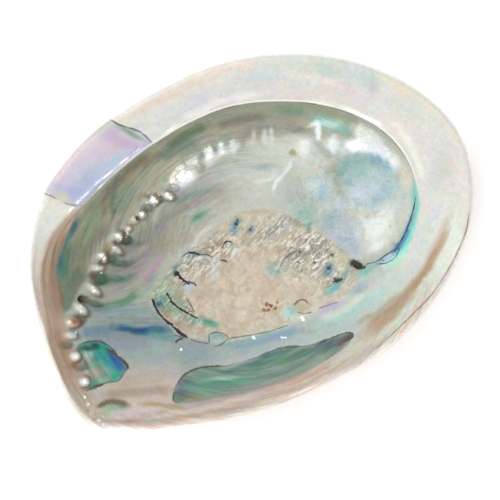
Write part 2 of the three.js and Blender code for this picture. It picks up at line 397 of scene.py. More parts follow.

# pearly knobs at the wall's foot, the last seven low swellings under painted highlights: x, y, half length,
# half width, turn, height
KNOBS = [
    (-79, -16.4, 2.2, 1.7, -35, 1.2), (-77.2, -6.6, 2.2, 1.8, -20, 1.2), (-71.8, 4.9, 2.8, 1.8, -35, 1.1),
    (-74.8, 1, 2.4, 1.3, -40, 0.8), (-66.8, 7.6, 3, 1.5, -70, 0.9), (-59.2, 11.6, 3.2, 1.3, -70, 0.9),
    (-54, 17.7, 2.4, 1.3, -40, 0.8), (-50.3, 20.1, 2.3, 1.9, -60, 1.2), (-44.6, 20.4, 2.8, 1.2, -70, 0.8),
    (-41.5, 23.7, 2.2, 1.9, -60, 1.2), (-36.8, 24.6, 1.4, 1.1, -60, 0.7), (-33.2, 26.2, 1.5, 1.5, 0, 0.7),
    (-30, 26.6, 1.8, 1.5, -40, 0.7), (-23.4, 28.9, 2.2, 1.7, -20, 0.9), (-18.3, 28, 2.6, 1.4, -50, 0.8),
    (-8.8, 30.8, 5, 3.6, 10, 0.35), (2, 32, 3, 2.4, 0, 0.25), (7.6, 32.2, 2.4, 1.8, 0, 0.2),
    (12, 31.4, 2.6, 1.8, -20, 0.2), (24.4, 28.6, 3.4, 1.4, 60, 0.2), (42.2, 20.6, 2.4, 1.6, 40, 0.2),
    (44.6, 13.4, 3.2, 2.4, 30, 0.25),
]
# hollows beside the knobs, left by the pores: x, y, half length, half width, turn, depth
HOLLOWS = [
    (-76, -11.6, 3, 1.3, -8, 0.8), (-74, -9, 2, 1.4, 0, 0.5), (-77.6, -1.6, 2.2, 1.3, -30, 0.7),
    (-68.6, 4.2, 2.2, 1.5, -40, 0.7), (-63.8, 10.1, 1.7, 1.4, -30, 1.4), (-61.4, 7, 3.4, 1.2, -50, 0.8),
    (-55.2, 14.2, 3.3, 2.5, -50, 1.2), (-50.6, 11.6, 4, 1.2, -42, 0.4), (-47.8, 18.4, 2.4, 1.5, -60, 0.9),
    (-46.4, 15.4, 3.8, 1.1, -42, 0.5), (-39.7, 21.5, 2.7, 1.8, -50, 1), (-31.8, 26, 0.9, 0.8, 0, 0.7),
    (-26.8, 27.4, 1.9, 1.3, -40, 0.5), (-21, 27.8, 1.6, 1.1, -60, 0.5), (-14.4, 29, 2, 1.5, -50, 0.3),
    (-2.6, 30.6, 1.8, 1.8, 0, 0.25), (34.8, 25.8, 3.4, 1.1, -32, 0.3), (38.6, 23.8, 2, 1, -32, 0.2),
]
# warm and dark marks on the knobs and in the hollows, with a painted highlight at (-72.9, 5.2) and painted
# shade at (-79.2, -9.6): x, y, half length, half width, colour
PORE_MARKS = [
    (-71.2, 4.6, 2.4, 1.5, "a4603a"), (-72.9, 5.2, 0.9, 0.8, "f0dccb"), (-77.8, -1, 2, 1.3, "8f7260"),
    (-56.6, 16, 1.6, 1.2, "7c5c4e"), (-54.2, 13.2, 2.8, 1.4, "4a6252"), (-55.6, 14.8, 1.6, 1.3, "5f5a4c"),
    (-48.3, 19.6, 1.3, 1.8, "8a6a4c"), (-51.8, 19, 0.7, 1.4, "5f4434"), (-63.9, 10.2, 1.3, 1, "2a2320"),
    (-62.6, 8.8, 1.6, 1.2, "7d6152"), (-46.8, 22.4, 1.2, 1.6, "a08256"), (-39.4, 22.6, 1, 1.6, "75543c"),
    (-79.2, -9.6, 1.6, 1, "8c6450"), (-24.6, 31.2, 2, 0.8, "8f7a68"), (-43.6, 22.4, 0.6, 1.4, "6b4c34"),
    (-31.9, 26, 0.6, 0.6, "39433f"), (-21.6, 29.6, 1, 1.4, "8a7058"),
]
# specks, holes and bright points in the bowl: x, y, radius, depth, colour
SPECKS = [
    # the deep hole at the scar's right end, and smaller ones around its edge
    (29.3, -28, 1.5, 1.8, "16181a"), (30.4, -29.4, 1.7, 2, "16181a"), (31.6, -30.8, 1.2, 1.2, "16181a"),
    (-29.8, 1, 1.2, 0.9, "14191c"), (-29.3, -0.9, 1, 0.7, "191f22"), (-28.6, -2.4, 0.5, 0.3, "2a2a2a"),
    (-1.4, 5.9, 0.9, 0.6, "1b2226"), (-0.2, 6.8, 0.8, 0.5, "2b1d18"), (-2.6, 4.9, 0.5, 0.3, "2f5d7c"),
    (2.4, 1.4, 0.7, 0.5, "2a3038"), (3.2, 2.2, 0.5, 0.3, "33281f"), (20.4, -25.4, 1, 0.7, "1d3346"),
    (21.6, -24.6, 0.6, 0.4, "1c1e22"), (19.2, -26.9, 0.7, 0.4, "2b5f86"), (20.6, -30.4, 1.3, 0.9, "241a1a"),
    (22, -31.3, 0.9, 0.6, "2a2724"), (19, -29.8, 0.6, 0.4, "3a2a24"), (-40.8, -5.4, 1, 0.5, "2c5f7c"),
    (-42.4, -5.2, 0.8, 0.4, "4a1f2a"), (14, -15, 0.8, 0.5, "39474a"), (11.5, -18, 0.8, 0.5, "44504e"),
    (16.8, -21, 0.8, 0.5, "3c4c4c"), (23.6, -22, 1, 0.5, "384848"), (23, -19.4, 0.8, 0.4, "4a5c58"),
    (14, -17, 0.6, 0.4, "4a5450"), (11.4, -20.8, 0.6, 0.4, "4f5854"), (3.4, -17, 0.7, 0.4, "5d7a76"),
    (13, -3.8, 0.7, 0.3, "5a6670"), (-12.4, -3.6, 0.6, 0.3, "4c4c48"), (22.6, -7.8, 1, 0.4, "5f9c90"),
    (-8.4, 2, 0.6, 0.3, "4f6468"),
    # rust spots low on the scar
    (-6.4, -25.8, 1, 0.1, "8a5434"), (-5.2, -26.9, 1, 0.1, "6f3f26"), (-8.4, -27.2, 0.9, 0.1, "8f5c3c"),
    (-6.8, -27.8, 0.8, 0.1, "7c4529"), (-4.4, -28.4, 0.9, 0.1, "7c4a2c"), (-2.6, -27, 0.7, 0.1, "94603f"),
    (-9, -28.6, 0.6, 0.1, "96674a"), (-1.6, -26.2, 0.5, 0.1, "a07050"), (-7.6, -24.8, 0.5, 0.1, "96603e"),
    # the holes beside two knobs, the khaki spot and three small marks
    (-31.9, 26, 0.7, 0.4, "3a4540"), (-64.4, 10.6, 1.2, 0.5, "2d2320"), (30.2, 18.4, 1.5, 0.3, "9a9468"),
    (30.4, 17.4, 1, 0.2, "a8966a"), (30.8, 18.6, 0.5, 0.2, "6f5a38"), (47.6, -23.2, 0.7, 0.2, "7c7468"),
    (50.8, -24.8, 0.6, 0.2, "8c8478"), (5.2, 37.2, 0.45, 0.1, "6c685c"),
    # painted highlights on the knobs
    (-78.9, -16.6, 1, 0, "f6f8f4"), (-77.6, -17.6, 0.6, 0, "dff0e6"), (-77, -7, 0.9, 0, "f4f7f2"),
    (-72.6, 0.9, 0.6, 0, "d9e2d4"), (-72.9, 5.6, 0.6, 0, "f6e6da"), (-67.3, 6.4, 0.7, 0, "fbf6ee"),
    (-66.4, 8.6, 0.8, 0, "f8f4ee"), (-59.5, 10.8, 0.9, 0, "f6f8ec"), (-58.9, 12.6, 0.8, 0, "f8f8f2"),
    (-54.3, 17.6, 0.5, 0, "e6dcd4"), (-50.4, 20.9, 1.1, 0, "fdfdfb"), (-49.8, 19.3, 1, 0, "fbfbf8"),
    (-44.8, 21, 0.6, 0, "f4f2ea"), (-44.2, 19.4, 0.5, 0, "e8e6dc"), (-41.6, 24.6, 1.1, 0, "fdfdfb"),
    (-41, 23, 1, 0, "f8f8f4"), (-36.8, 24.8, 0.7, 0, "f4f4ee"), (-33.3, 26.6, 0.8, 0, "f8f8f4"),
    (-29.9, 26.9, 0.9, 0, "f6f6f2"), (-23.6, 29.4, 1.3, 0, "fdfdfb"), (-22.6, 28.2, 0.8, 0, "f8f8f6"),
    (-18.4, 28.6, 1, 0, "fafaf8"), (-17.6, 26.9, 0.7, 0, "eef0ee"), (-10, 31.2, 1.9, 0, "fdfdfc"),
    (-7.4, 30.6, 1.6, 0, "fbfbfa"), (-8.8, 32.6, 1, 0, "f8f8f8"),
    # the crumbly tip of the left end
    (-81, -19.6, 0.5, -0.2, "e8e6de"), (-81.4, -21.4, 0.7, -0.3, "dfe2dc"),
    (-82, -22.8, 0.5, 0.3, "6f6a60"), (-81.6, -24.6, 0.8, -0.3, "eceeea"),
    (-82.6, -26.2, 0.6, 0.3, "756c60"), (-81.8, -28, 0.9, -0.3, "f0f2ee"),
    (-82.2, -30.2, 0.6, 0.3, "7c7468"), (-81.2, -31.6, 0.8, -0.3, "e6eae4"),
    (-80.6, -33.6, 0.7, -0.2, "f2f2ee"), (-80, -26.4, 0.5, -0.2, "dcdcd2"),
    (-79.4, -31, 0.5, -0.2, "d6dcd2"),
    # small bright points on the floor
    (-16.8, -33.8, 0.9, -0.1, "dfe9e7"), (-7.6, -39.1, 0.7, 0, "f4f8f8"), (-6.4, -39.5, 0.6, 0, "f4f8f8"),
    (-42.4, -24.4, 0.7, 0, "f4f6f6"), (2.6, -36.8, 0.9, 0, "f6faf8"), (-18.6, 5.6, 0.4, 0, "eef0ea"),
]


# ---- tints, in plan. Each is laid over the ones before it ----

GROUND = {"bowl": "c6c6bb", "shelf": "d5d2cb"}
# by the layer they lie in: x, y, half length, half width, turn, colour, strength
WASHES = {
    "bowl": [
        # the bowl's floor, from the thin left end to the spire
        (-50, 12, 24, 14, 25, "b3b5a2", 1), (-45, 15, 10, 4, 20, "858c80", 0.7),
        (-36, 15, 10, 5, 20, "7d7b76", 0.85), (-46, 8, 11, 3.4, 15, "b3aaa9", 0.8),
        (-28, 20, 14, 7, 15, "9c9b8e", 0.8), (-12, 23, 18, 6, 0, "9fa397", 0.9),
        (6, 25, 12, 6, 0, "b9b8b0", 0.9), (14, 22, 12, 5, -10, "c6c9c3", 0.9),
        (-24, 12, 8, 4, 10, "aaa593", 0.7), (-6, 15, 14, 4, 0, "c0bfae", 0.8),
        (30, 16, 17, 13, 0, "d2d5cb", 0.95), (24, 4, 8, 8, 0, "bcc3b9", 0.9),
        # the pale oval at (46, -16) is a painted highlight around the spire
        (46, -16, 16, 14, 0, "dbdcd6", 0.9), (-11.8, 15.2, 4, 1.6, 12, "84ab9c", 0.85),
        (-12.2, 15.2, 2, 0.8, 12, "5c8f80", 0.7), (18, 19.4, 4, 1.2, -25, "a3b0aa", 0.7),
        # the near-white ovals at (35, 18.4), (45.4, 13.6), (-8.8, 30.8), (2, 32), (9.6, 31.6) and (24.6,
        # 28.4) are painted highlights at the wall's foot
        (35, 18.4, 3.4, 2.4, 60, "f6f8f5", 0.95), (45.4, 13.6, 4.4, 2.8, 30, "f7f8f5", 0.9),
        (48.2, 15.4, 2, 1, 50, "dcc9a8", 0.6), (-8.8, 30.8, 5.4, 3.6, 10, "f2f1f2", 0.95),
        (2, 32, 3.2, 2.4, 0, "e6eae8", 0.8), (9.6, 31.6, 5, 2, -8, "e3e8e6", 0.7),
        (24.6, 28.4, 3, 1.8, 50, "d9dfda", 0.6),
        # the open side
        (-62, -30, 34, 13, -25, "c7b9ac", 1), (-66, -39, 20, 4.5, -28, "decec6", 0.8),
        (-52, -11, 24, 10.5, -32, "97a5a5", 1), (-62, -9, 9, 3.4, -40, "8d9aa2", 0.8),
        (-51, -20, 12, 4, -20, "a7b2b6", 0.8), (-38, -27.4, 9, 7, -20, "98a5a7", 1),
        (-14, -37.5, 20, 4.2, -16, "9fafb1", 0.9), (6, -43.5, 18, 4.2, -10, "adbbb7", 0.9),
        (24, -44, 20, 5.5, 0, "b8c5bf", 0.9), (44, -40, 17, 8, 22, "c3ccc1", 0.9),
        (62, -31, 17, 11, 38, "d2d3c9", 0.9), (-28, -53, 32, 4.6, -14, "dbccc7", 0.9),
        (-8, -58, 36, 3.4, 0, "dccfc0", 0.8), (34, -56, 26, 3, 14, "d8d4c6", 0.7),
        (-79, -24.4, 3, 1.6, -60, "cbbfa4", 0.8), (-77.4, -30, 2.4, 2, 0, "a8c8ac", 0.7),
        (27, -37.6, 3.4, 1.6, 10, "8c9ea6", 0.8), (33, -36, 5, 2, 10, "b2cabf", 0.7),
        (14, -38.2, 4.6, 1.2, -4, "b7abc6", 0.8), (42, -36.4, 6, 2, 20, "b4d0c4", 0.7),
        # the spire's hollow, and the painted highlights around it: the white ovals at (43.6, -20.6) and
        # (39.6, -27.4)
        (50, -2.4, 13, 11.5, -8, "afc6c1", 1), (45.5, -7, 8, 3.6, -10, "cdd3df", 0.9),
        (51, -3, 5, 2.2, -20, "c0d2cb", 0.8), (58.4, -4.4, 3, 4, 30, "b4d6e2", 0.85),
        (60.4, -8.6, 3, 2, 40, "c9b9b4", 0.8), (51, -12, 6, 2.2, 10, "afc6d3", 0.8),
        (33.2, -17, 5.6, 8.6, 12, "bfc6cb", 1), (32.6, -20.6, 3.6, 3.8, 12, "b0bac3", 0.8),
        (29.6, -10, 4, 3, 0, "a3bab8", 0.7), (43.6, -20.6, 7, 4.8, 5, "eef0ec", 0.9),
        (39.6, -27.4, 3, 1.6, 10, "eef0ec", 0.8), (52, -23.4, 6, 3, 35, "cfcdbd", 0.7),
        (32.4, 2.6, 3.4, 3.6, 20, "d5e2e8", 0.85), (32.2, 0.2, 3.4, 1.8, 30, "a9c2d4", 0.8),
        (29.6, 5, 3.2, 2, -30, "dde4e4", 0.7), (23, -3.5, 3.4, 3.2, 0, "97bfb2", 0.7),
        (40.4, 6.4, 3.2, 1.6, 30, "bda993", 0.7), (36, 10, 6, 3, 0, "d9dcd2", 0.6),
    ],
    "shelf": [
        # the shelf
        (5, 58, 24, 2.6, -5, "dbd2c8", 0.7), (4, 52, 9, 3, 0, "cfcfd1", 0.6),
        (11, 51.6, 4, 1.8, 0, "cdcbd8", 0.6), (33, 49, 9, 4, -25, "c9ced2", 0.7),
        (37, 46, 8, 1.6, -32, "c6cdd3", 0.6), (47, 44.6, 8, 3, -35, "cad0c6", 0.7),
        (57, 37.4, 5, 2.4, -50, "bacabf", 0.8), (53, 29, 7, 2, -48, "dccbc2", 0.7),
        (63, 33, 9, 3.6, -50, "c6cec8", 0.7), (68, 27, 4, 3, -50, "bac7c4", 0.8),
        (67.4, 24, 1.8, 2.2, -20, "bfb3b8", 0.6), (60, 22, 4, 2.4, -20, "d3cac8", 0.6),
        (76.4, 20, 7, 2.4, -58, "dfd1b9", 0.6), (72, 12, 6, 6, 0, "d2d1c5", 0.6),
        (79, 6, 4, 8, -5, "cdd2c4", 0.6), (71, -2, 5, 8, 0, "d6cfc4", 0.6),
        (74, -15, 6, 3.4, 40, "c4c5c0", 0.8), (70, -19, 4, 2, 45, "c6cdc6", 0.6),
        (-60, 42, 9, 6, 40, "dddcd0", 0.9), (-69, 34, 6, 4, 50, "dad6cb", 0.8),
    ],
    "both": [
        (66, -27, 7, 3, 45, "d3d6cf", 0.6), (63, -28.6, 3, 1.6, 40, "cccdd2", 0.6),
        (56, -33, 8, 2.4, 40, "c5d0c8", 0.7), (31, -33, 4, 1.3, 8, "7fc4b8", 0.8),
    ],
    "scar": [
        # the muscle scar
        (-12, -14, 40, 26, 0, "d2c5b3", 1), (-38.5, -7, 4.2, 6, 10, "8bb094", 0.95),
        (-37, 0, 5, 2.6, 10, "a9bda6", 0.8), (-34.4, -9, 1.8, 4.6, 25, "9fb69c", 0.9),
        (-33, -4, 2.2, 3.2, 0, "b9b49a", 0.8), (-40, -12, 1.3, 4.4, 18, "c9a99c", 0.8),
        (-36.6, -15.6, 2, 4.6, 30, "c5c0ae", 0.8), (-33.6, -20.4, 1.6, 3.6, 30, "c0a9a2", 0.6),
        (-32.4, -17.4, 3, 1.3, -38, "79a891", 0.9), (-41, -5.4, 2, 1.3, 20, "4f86a0", 0.8),
        (-28.4, -21.4, 3, 1.2, -42, "4b9f8c", 0.85), (-29, -27.4, 3.4, 2.3, -32, "9cb6b4", 1),
        (-29.4, 3.2, 2, 1.6, 0, "6f95a6", 0.85), (-20, 0.4, 5, 1.6, -25, "d3d6d2", 0.85),
        (-22, 4.4, 4.4, 1.3, -20, "93aeb0", 0.8), (-28.6, -5.6, 2.4, 1.8, 0, "c3d2e0", 0.95),
        (-16.6, -5.2, 3.4, 2, 40, "cfd4d6", 0.85), (-8, 0.2, 2.2, 1.3, 0, "ccd2c8", 0.8),
        (-7.6, -2.4, 1.6, 1.6, 0, "c3d0c4", 0.8), (-2.8, 4.6, 1.6, 2.2, -30, "6fa0b8", 0.8),
        (-0.6, 6.6, 1.8, 1.1, 0, "5f8a90", 0.7), (2.6, 1.6, 1.8, 0.9, 20, "5f80a4", 0.75),
        (-10, 6.6, 3.4, 1.2, 0, "b0c4c6", 0.8), (12, -3, 9, 4, -10, "c6c7bd", 0.8),
        (3, -16, 3.6, 2.4, 0, "9bb9ad", 0.8), (17, -18, 9, 5, 10, "c3c3b6", 0.8),
        (20, -26.2, 2.4, 1.5, 30, "4b86ac", 0.85), (18.8, -32.6, 3.6, 1.6, 14, "7dc2c6", 0.9),
        (24, -31.2, 2.6, 1.4, 20, "9fcbbd", 0.8), (0, -33.2, 2.6, 2.4, -40, "b3d6d2", 0.95),
        (26, -24.4, 2.4, 3, 0, "cac4a8", 0.8), (22, -8, 2, 1.2, 0, "5fa093", 0.8),
        (13, -7.6, 7, 0.9, 6, "d9caa4", 0.7),
    ],
}
# layer, points, half width (or half widths from end to end), soft edge, colour, strength
STREAKS = [
    # the wall between the knobs and the lip
    ("bowl", [(-68, 12), (-60, 25), (-50, 32), (-38, 36), (-24, 39), (-10, 40), (10, 40), (24, 37),
     (38, 30), (50, 21), (58, 9)], 5.5, 4, "a6aa98", 1),
    ("bowl", [(-66, 18), (-60, 24), (-52, 28.4), (-44, 31)], (2.4, 1.6), 2.6, "7f8b77", 0.85),
    ("bowl", [(-62, 17.6), (-55, 23.6), (-46, 27.6), (-36, 30)], 0.9, 2.2, "8f8070", 0.5),
    ("bowl", [(-56, 27), (-46, 33.4), (-36, 36.6)], 1, 2, "9cae8a", 0.8),
    ("bowl", [(-45, 29.6), (-34, 31.8), (-24, 35)], 1, 2.2, "b5aa98", 0.7),
    ("bowl", [(-40, 32), (-32, 34.8), (-26, 38)], 1, 2, "84a288", 0.8),
    ("bowl", [(-34, 33), (-27, 36.4), (-20, 40)], 0.8, 1.6, "a2ae9d", 0.7),
    ("bowl", [(-27, 34.4), (-16, 37.2), (-6, 37)], 1.5, 2.4, "bdbaa6", 0.8),
    ("bowl", [(-14, 40.6), (-6, 41), (2, 39.4)], 1, 2, "7d9482", 0.8),
    ("bowl", [(-10, 43), (-2, 43.6), (8, 43)], 0.7, 1.6, "647a62", 0.85),
    ("bowl", [(-30, 38.6), (-23, 42.2), (-13, 44)], 0.5, 1.2, "b0a689", 0.7),
    ("bowl", [(-32, 39.4), (-25, 43), (-16, 44.6)], 0.4, 1.2, "7e6f5a", 0.7),
    ("bowl", [(-4, 35), (6, 35.2), (14, 34.4)], 1, 2, "8ea192", 0.7),
    ("bowl", [(2, 38), (12, 38.6), (22, 36.4)], 1.4, 2.2, "b3aa9c", 0.8),
    ("bowl", [(10, 41), (20, 38.6), (29, 34.4)], 0.7, 1.6, "8a8072", 0.8),
    ("bowl", [(14, 34), (22, 32.6), (30, 29)], 1, 1.8, "9b9789", 0.8),
    ("bowl", [(32, 35.4), (37, 32.4), (42, 29.4)], 1, 1.8, "8aa286", 0.85),
    ("bowl", [(30, 32), (36, 28.6), (42, 24.6)], 0.6, 1.4, "a39a86", 0.7),
    ("bowl", [(43, 26), (48, 21.6), (54, 14.4)], 1.6, 2.8, "86b5a8", 0.85),
    ("bowl", [(46, 27), (52, 21), (57, 13.4)], 0.6, 1.6, "aaa488", 0.7),
    ("bowl", [(54, 15), (58, 9.4), (61, 3)], 1.4, 2, "fbfaf0", 0.95),
    ("bowl", [(61.6, 6), (63, 0), (62.6, -8), (60.4, -15)], 1.2, 1.8, "dad5c2", 0.9),
    # two darker strokes that cross the wall by the lavender window
    ("bowl", [(-29, 43), (-33, 40), (-37, 35.4), (-39.6, 30)], 0.4, 1.3, "6b7a60", 0.7),
    ("bowl", [(-34, 41.4), (-38.6, 37.4), (-43, 32.4)], 0.3, 1.1, "8d755e", 0.7),
    ("bowl", [(-22, 41), (-17, 42.6), (-11, 42.4)], 0.4, 1.2, "8f7d66", 0.6),
    # fine pale and brown streaks between the painted highlights
    ("bowl", [(14.6, 29), (17, 31.8), (19, 33.6)], 0.3, 1.2, "a4968a", 0.5),
    ("bowl", [(18.6, 28), (20.4, 31), (22, 33)], 0.3, 1, "d8ddd6", 0.7),
    ("bowl", [(21.6, 29), (22.8, 31), (24, 32.4)], 0.3, 1.2, "ab998a", 0.5),
    ("bowl", [(26.4, 27.4), (28, 29.6), (29.6, 31)], 0.3, 1.2, "9a9384", 0.5),
    ("bowl", [(-15, 30), (-14, 32), (-12.6, 34)], 0.4, 1, "9a8468", 0.7),
    ("bowl", [(-28, 22), (-24, 25), (-20, 27)], 0.4, 1.2, "c9cfc8", 0.6),
    ("bowl", [(-18, 24.6), (-10, 23.4), (-2, 21)], 0.5, 1.6, "879c96", 0.7),
    ("bowl", [(-14, 21), (-6, 20.4), (2, 19)], 0.5, 1.4, "b59f97", 0.6),
    ("bowl", [(-30, 19), (-20, 21), (-12, 21)], 0.5, 1.6, "9b8f8c", 0.6),
    # painted highlights at the wall's foot, drawn upright
    ("bowl", [(40.8, 17.6), (42.2, 20.1), (43.6, 22.6)], 0.4, 1.2, "ffffff", 0.95),
    ("bowl", [(43.6, 12), (45, 14.4), (46, 16)], 0.9, 1.2, "ffffff", 0.95),
    ("bowl", [(25.4, 25.6), (26.8, 28.2), (28, 30.4)], 0.3, 1, "e6ece8", 0.8),
    ("bowl", [(23.2, 27), (24.6, 29.4), (25.4, 31)], 0.3, 1, "e2e8e6", 0.7),
    ("bowl", [(0.8, 29.8), (2, 32.2), (3, 34.2)], 0.7, 1.2, "f4f7f6", 0.9),
    ("bowl", [(6.4, 30.8), (7.4, 32.6), (8.4, 34.2)], 0.5, 1, "eef2f0", 0.8),
    ("bowl", [(11, 29.2), (12.4, 31.8), (13.4, 33.4)], 0.5, 1, "eef3f1", 0.85),
    # the olive foot of the left wall
    ("bowl", [(-73.6, 9), (-69.6, 13), (-64, 17), (-58, 20)], (1.2, 1.8), 2, "6c7a68", 0.85),
    ("bowl", [(-72, 12.6), (-68.4, 18), (-63, 24)], 0.8, 1.8, "74826f", 0.8),
    # the teal streak at the top of the wall, with its brown border
    ("bowl", [(-50, 38.2), (-56, 36), (-61, 32.8), (-65.4, 28.6), (-68.8, 23), (-71.4, 16), (-73, 10)],
     (0.7, 1.3), 1.3, "8a6c55", 0.95),
    ("bowl", [(-50.4, 36.4), (-55, 34.2), (-60.6, 31), (-64.4, 26.6), (-67, 20.6)], (0.5, 1.4), 1.4,
     "3f7c80", 0.95),
    ("bowl", [(-52, 35.8), (-56.6, 33.6)], 0.3, 0.8, "1d4f6e", 0.8),
    ("bowl", [(-58.6, 30.4), (-62.6, 26.4), (-65.6, 20.4)], 0.9, 1.6, "568468", 0.8),
    ("bowl", [(-63.4, 28.2), (-65.8, 24.4)], 0.3, 0.8, "2c5f78", 0.7),
    # the tan band down the left end
    ("both", [(-46, 40.4), (-53, 38), (-60, 34.2), (-66, 30.2), (-70.6, 24.6), (-74.2, 17), (-77, 9),
     (-79.2, 1), (-80.6, -7), (-81, -14), (-80.4, -21)], (1, 3.9), 2.2, "ba9f89", 1),
    ("both", [(-58, 34.6), (-64.6, 29.4), (-69, 23.6), (-72.6, 16), (-75, 9)], (0.6, 0.8), 1.4, "a4846c",
     0.8),
    ("both", [(-68, 30.4), (-73, 24), (-76.6, 16.4), (-79.4, 8)], 0.4, 1.2, "b99f86", 0.7),
    ("both", [(-77.6, 6), (-79.4, -2), (-80.6, -10)], 0.5, 1.2, "a07c5c", 0.6),
    ("both", [(-66, 34.6), (-72, 29.6), (-77.2, 21), (-80.6, 12), (-82.6, 4)], (0.6, 1), 1.5, "e2d2c2",
     0.85),
    # blue, green and mauve streaks on the floor's left part
    ("bowl", [(-71, -0.6), (-65, -2.6), (-58, -5.6)], 0.7, 2, "7590a0", 0.85),
    ("bowl", [(-65, 8), (-61, 4.6), (-56, 1), (-50, -1)], (0.6, 1), 2, "7f979c", 0.8),
    ("bowl", [(-61, 5.4), (-56, 3), (-50, 1.6), (-45, 2.4)], 0.6, 1.6, "68906f", 0.85),
    ("bowl", [(-60, 3), (-50, -3), (-44, -5)], 0.9, 2.4, "9ab2b2", 0.7),
    ("bowl", [(-60.4, -4.4), (-56, -7.6), (-51, -11), (-46.6, -13.6), (-42, -16)], (0.8, 0.7), 1.3,
     "40798f", 1),
    ("bowl", [(-58.6, -6.2), (-54, -9), (-49, -11.8)], 0.3, 0.9, "1d4f80", 0.9),
    ("bowl", [(-50.6, -13.4), (-46, -17), (-42.4, -19.6)], 0.5, 1.6, "6aa39b", 0.8),
    ("bowl", [(-52, 8), (-44, 9.4), (-37, 11.4)], 1, 2.4, "a598a0", 0.7),
    ("bowl", [(-54.6, 11.6), (-49, 9.4), (-43, 7.6)], 0.5, 1.8, "6b9072", 0.8),
    ("bowl", [(-49, 16.6), (-45, 14.4), (-40, 13.4)], 0.5, 1.6, "667f6c", 0.75),
    ("bowl", [(-40.6, 20.4), (-37, 17.6), (-33, 16)], 0.5, 1.6, "7d8278", 0.8),
    ("bowl", [(-44, 16), (-38, 14.6), (-33, 15.2)], 0.5, 1.4, "b3a9ad", 0.6),
    ("bowl", [(-42, 3.6), (-36, 6.6), (-30, 10.6)], 0.6, 1.4, "b79fae", 0.85),
    ("bowl", [(-44, 1), (-40, 2.4), (-36, 5)], 0.4, 1.2, "9db5b0", 0.7),
    ("bowl", [(-21, 6.4), (-15, 9.2), (-8, 9.8)], 0.2, 0.9, "e3dfcc", 0.8),
    ("bowl", [(-66, -7), (-60, -12), (-52, -17)], 0.8, 2, "9aa3b0", 0.7),
    ("bowl", [(-62, -15), (-54, -19), (-46, -22)], 0.7, 1.8, "9fb5a8", 0.6),
    # the open side's growth streaks
    ("bowl", [(-75, -24.4), (-66, -28.8), (-58, -32.4), (-52, -36.6)], (0.7, 0.4), 2.2, "ac9786", 0.8),
    ("bowl", [(-70, -23), (-60, -26.6), (-50, -30)], 1, 2.2, "b9ac9d", 0.6),
    ("bowl", [(-79.6, -26.8), (-75.6, -27.2), (-72, -29.6), (-69, -33)], (0.4, 0.9), 0.9, "746a56", 0.95),
    ("bowl", [(-77, -28.6), (-73, -31), (-70, -34)], 0.4, 1, "8fae92", 0.7),
    ("bowl", [(-74.6, -36.4), (-66, -38.4), (-58, -41)], 0.4, 1.1, "b3a17c", 0.7),
    ("bowl", [(-66, -33.6), (-61.5, -36), (-56, -40), (-51, -44)], 0.25, 1, "b19a74", 0.75),
    ("bowl", [(-76, -33), (-69, -36.4), (-60, -40)], 0.8, 1.6, "d6c4cd", 0.7),
    ("bowl", [(-64, -42), (-50, -47.4), (-36, -51)], 0.7, 1.6, "dcccb8", 0.7),
    ("bowl", [(-52, -42.4), (-42, -45.4), (-30, -49), (-16, -52.4), (0, -54.4)], 0.7, 1.5, "b8a3a4", 0.8),
    ("bowl", [(-46, -47), (-34, -51), (-20, -54)], 0.4, 1.2, "d6c3b6", 0.6),
    ("bowl", [(-42.6, -21), (-45.6, -26), (-43.4, -31)], 0.5, 1, "9fb09a", 0.7),
    ("bowl", [(-27, -32), (-18, -35), (-8, -37.6), (0, -40.4)], 0.7, 1.6, "8ba3ba", 0.9),
    ("bowl", [(-30, -30.4), (-20, -33.4), (-10, -36)], 0.4, 1, "8fb0a4", 0.8),
    ("bowl", [(-2, -39.6), (6, -42.6), (14, -44)], 0.4, 1.2, "a8a390", 0.6),
    ("bowl", [(2, -40.4), (10, -42.6), (24, -44), (36, -42)], 0.6, 1.4, "a9cfc9", 0.7),
    ("bowl", [(8, -40.6), (18, -41.4), (28, -40.6)], 0.5, 1.2, "d3ddcf", 0.7),
    ("bowl", [(28, -38), (38, -37), (47, -33)], 0.4, 1.1, "c8b5bc", 0.6),
    ("both", [(68, -31.6), (62, -36.6), (55, -41.6), (47, -46), (38, -49), (28, -51.6), (18, -53.6)], (0.4,
     1.9), 2.2, "b79e84", 1),
    ("both", [(58, -39.2), (50, -44), (42, -47.6)], 0.5, 1.2, "a58768", 0.6),
    ("both", [(18, -48.4), (28, -48.2), (38, -46.4)], 0.3, 1, "b1a288", 0.8),
    ("both", [(24, -50.4), (34, -49.6), (44, -46)], 0.3, 1, "a08e76", 0.5),
    ("both", [(72, -30), (64, -38.6), (54, -45), (40, -50.6)], 0.5, 1.2, "dbe5d7", 0.7),
    ("both", [(22, -58), (36, -54.6), (50, -49.6), (62, -42.6), (72, -33)], 0.9, 1.6, "dbe2d4", 0.8),
    ("both", [(-50, -47.4), (-34, -53.4), (-14, -57.6), (8, -59)], 0.3, 0.9, "cfb3a4", 0.6),
    ("both", [(-30, -55), (-14, -58.8), (4, -60)], 0.3, 0.8, "ead9cb", 0.9),
    ("both", [(-24, -52.6), (-10, -55.4), (4, -56.4)], 0.3, 0.9, "c9ac96", 0.7),
    # turquoise under the lip's far end
    ("bowl", [(63.4, -13), (61, -19), (56.6, -24.6), (50, -29.4), (44, -32.6)], 0.4, 1, "6ccabc", 0.8),
    ("shelf", [(63.8, -13.6), (60.8, -20.4), (55.4, -26.6), (48.4, -31.8), (42, -34)], (0.4, 0.7), 1,
     "72d2c1", 0.95),
    ("both", [(58.4, -22.4), (53, -27.4), (48, -30.8), (42, -33)], (0.1, 0.5), 0.7, "5482bc", 0.85),
    ("both", [(36, -32.4), (40, -33.4), (44, -33.2)], 0.5, 0.7, "9fc8de", 0.9),
    ("both", [(50, -33), (44, -35.4), (38, -36)], 0.5, 1.2, "a4e0c6", 0.7),
    # the spire's hollow
